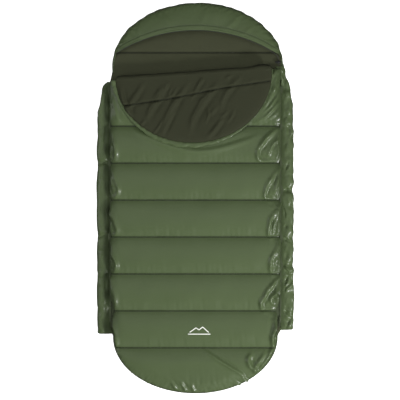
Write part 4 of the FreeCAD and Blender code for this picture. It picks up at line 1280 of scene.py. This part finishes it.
def build_stitching(quilt, hood, flap, base):
    """Thread along every quilting seam, the brim and the flap's seam."""
    quilt_tree, hood_tree, flap_tree, base_tree = map(surface_of, (quilt, hood, flap, base))
    for n, seam in enumerate(SEAMS):
        if abs(seam - HINGE_Y) < 1 * MM:
            continue
        half = 418 * MM if seam > TOE_CENTRE else 405 * MM
        path = [drop(quilt_tree, x, seam, 0.3 * MM) for x in np.arange(-half, half, 6 * MM)]
        stitches(f"stitches_seam_{n}", path, "cover" if seam > HINGE_Y else "bag_base", THREAD)
    path = [drop(base_tree, x, PILLOW_SEAM, 0.3 * MM) for x in np.arange(-405 * MM, 425 * MM, 6 * MM)]
    stitches("stitches_pillow", path, "bag_base", THREAD)
    for k, back in enumerate((19 * MM, 25 * MM)):
        xs = HEAD_SHIFT + np.arange(-405 * MM, 405 * MM, 6 * MM)
        path = [drop(hood_tree, x, float(brim_y(x, back)), 0.3 * MM) for x in xs]
        stitches(f"stitches_brim_{k}", path, "bag_base", THREAD)
    path = []
    for u in np.arange(-0.36, 0.39, 6 * MM):
        spot = from_fold(np.array([u, flap_seam(u), 0.0]))
        path.append(drop(flap_tree, spot[0], spot[1], 0.3 * MM))
    stitches("stitches_flap", path, "flap", THREAD)


def build_spring():
    """The spring in the cord lock."""
    low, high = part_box("cord_lock_spring")
    wire, turns = 0.3 * MM, 2.5
    turn = np.linspace(0, 2 * math.pi * turns, 100)
    radius = (high.y - low.y) / 2 - wire
    x = np.linspace(low.x + wire, high.x - wire, len(turn))
    y, z = (low.y + high.y) / 2 + radius * np.cos(turn), (low.z + high.z) / 2 + radius * np.sin(turn)
    obj = tube("lock_spring", np.stack([x, y, z], -1), wire, STEEL, sides=8, beside=(1, 0, 0))
    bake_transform(obj)
    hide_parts("cord_lock_spring")


def finish_hardware():
    """The carried-over CAD pieces get rounded edges and their own materials."""
    kinds = {
        "cord_lock_body": (PLASTIC, 1.2, "cord_lock_plastic"),
        "cord_lock_plunger": (PLASTIC, 0.8, "cord_lock_plastic"),
        "hood_drawcord": (CORD, 0, "cord"),
    }
    for word in ("left", "right"):
        kinds[f"{word}_zip_slider"] = (METAL, 0.45, "zip_metal")
        kinds[f"{word}_zip_pull"] = (METAL, 0.45, "zip_metal")
        kinds[f"{word}_zip_bottom_stop"] = (METAL, 0.5, "zip_metal")
    for node, (material, bevel, slot) in kinds.items():
        obj = frame["nodes"][node]
        obj.data.materials.clear()
        obj.data.materials.append(material)
        weld = obj.modifiers.new("weld", "WELD")
        weld.merge_threshold = 0.01 * MM
        if bevel:
            edge = obj.modifiers.new("edge", "BEVEL")
            edge.width = bevel * MM
            edge.segments = 3
            edge.limit_method = "ANGLE"
            edge.angle_limit = math.radians(40)
            edge.harden_normals = True


# ---------------------------------------------------------------- stage


def build_stage():
    n = Nodes("studio_floor")
    n.finish(Base_Color=(0.9, 0.9, 0.9, 1), Roughness=0.9)
    n.put(n.bsdf.inputs["Emission Color"], (1, 1, 1, 1))
    n.put(n.bsdf.inputs["Emission Strength"], 0.9)
    size = 30
    corners = [(-size, -size, 0), (size, -size, 0), (size, size, 0), (-size, size, 0)]
    floor = make("floor", corners, [(0, 1, 2, 3)], n.material)
    floor.visible_glossy = floor.visible_diffuse = False
    world = bpy.data.worlds.new("studio")
    world.use_nodes = True
    world.node_tree.nodes["Background"].inputs[0].default_value = (1, 1, 1, 1)
    world.node_tree.nodes["Background"].inputs[1].default_value = 0.25
    bpy.context.scene.world = world
    world.cycles_visibility.glossy = False
    bpy.context.scene.view_settings.view_transform = "Standard"
    # Only the glint and the left lamp leave highlights. The others are fill.
    for name, place, size, power, shines in (
        ("key", (3.0, -2.1, 2.4), 0.9, 58, False),
        ("glint", (3.0, -2.1, 2.4), 0.7, 80, True),
        ("left", (-3.6, 0.4, 2.2), 2.0, 16, True),
        ("front", (0.0, -4.0, 2.6), 2.5, 52, False),
        ("overhead", (0.0, 1.0, 4.0), 4.0, 85, False),
    ):
        light = bpy.data.lights.new(name, "AREA")
        light.size, light.energy = size, power
        lamp = link(bpy.data.objects.new(name, light))
        lamp.visible_glossy = shines
        lamp.location = place
        lamp.rotation_euler = (-Vector(place)).to_track_quat("-Z", "Y").to_euler()
    # Straight above, with the head of the bag up.
    camera = bpy.data.cameras.new("camera")
    camera.lens, camera.sensor_width = 134.2, 36
    eye = link(bpy.data.objects.new("camera", camera))
    eye.location = (24.9 * MM, -10.7 * MM, 8.06)
    bpy.context.scene.camera = eye


# ---------------------------------------------------------------- build

base_pad = build_base()
quilt_pad = build_quilt()
flap_pad = build_flap()
build_hem()
hood_pad = build_hood()
build_brim()
build_binding()
# Distance from the head end, and share of the full width there.
LEFT_TAPER = (np.array([0, 9, 57, 100, 143, 400]) * MM, [0.45, 0.52, 0.70, 0.82, 0.99, 1.0])
RIGHT_TAPER = (np.array([0, 27, 70, 91, 134, 220, 500]) * MM, [0.05, 0.18, 0.36, 0.52, 0.73, 0.92, 1.0])
LEFT_PINCHES = ((188 * MM, 0.30), (-204 * MM, 0.28), (385 * MM, 0.12), (-430 * MM, 0.12), (-610 * MM, 0.1))
RIGHT_PINCHES = ((43 * MM, 0.50), (-215 * MM, 0.30), (-360 * MM, 0.34), (187 * MM, 0.12), (385 * MM, 0.15),
                 (-440 * MM, 0.15))
build_wing(-1, "left", LEFT_PINCHES, LEFT_TAPER, toe_reach=22 * MM, head_reach=4 * MM, slant=26 * MM)
build_wing(1, "right", RIGHT_PINCHES, RIGHT_TAPER, toe_reach=2 * MM, head_reach=34 * MM, slant=0)
build_gusset()
build_zip(-1, "left")
build_zip(1, "right")
build_print(surface_of(quilt_pad))
build_stitching(quilt_pad, hood_pad, flap_pad, base_pad)
build_spring()
finish_hardware()
build_stage()
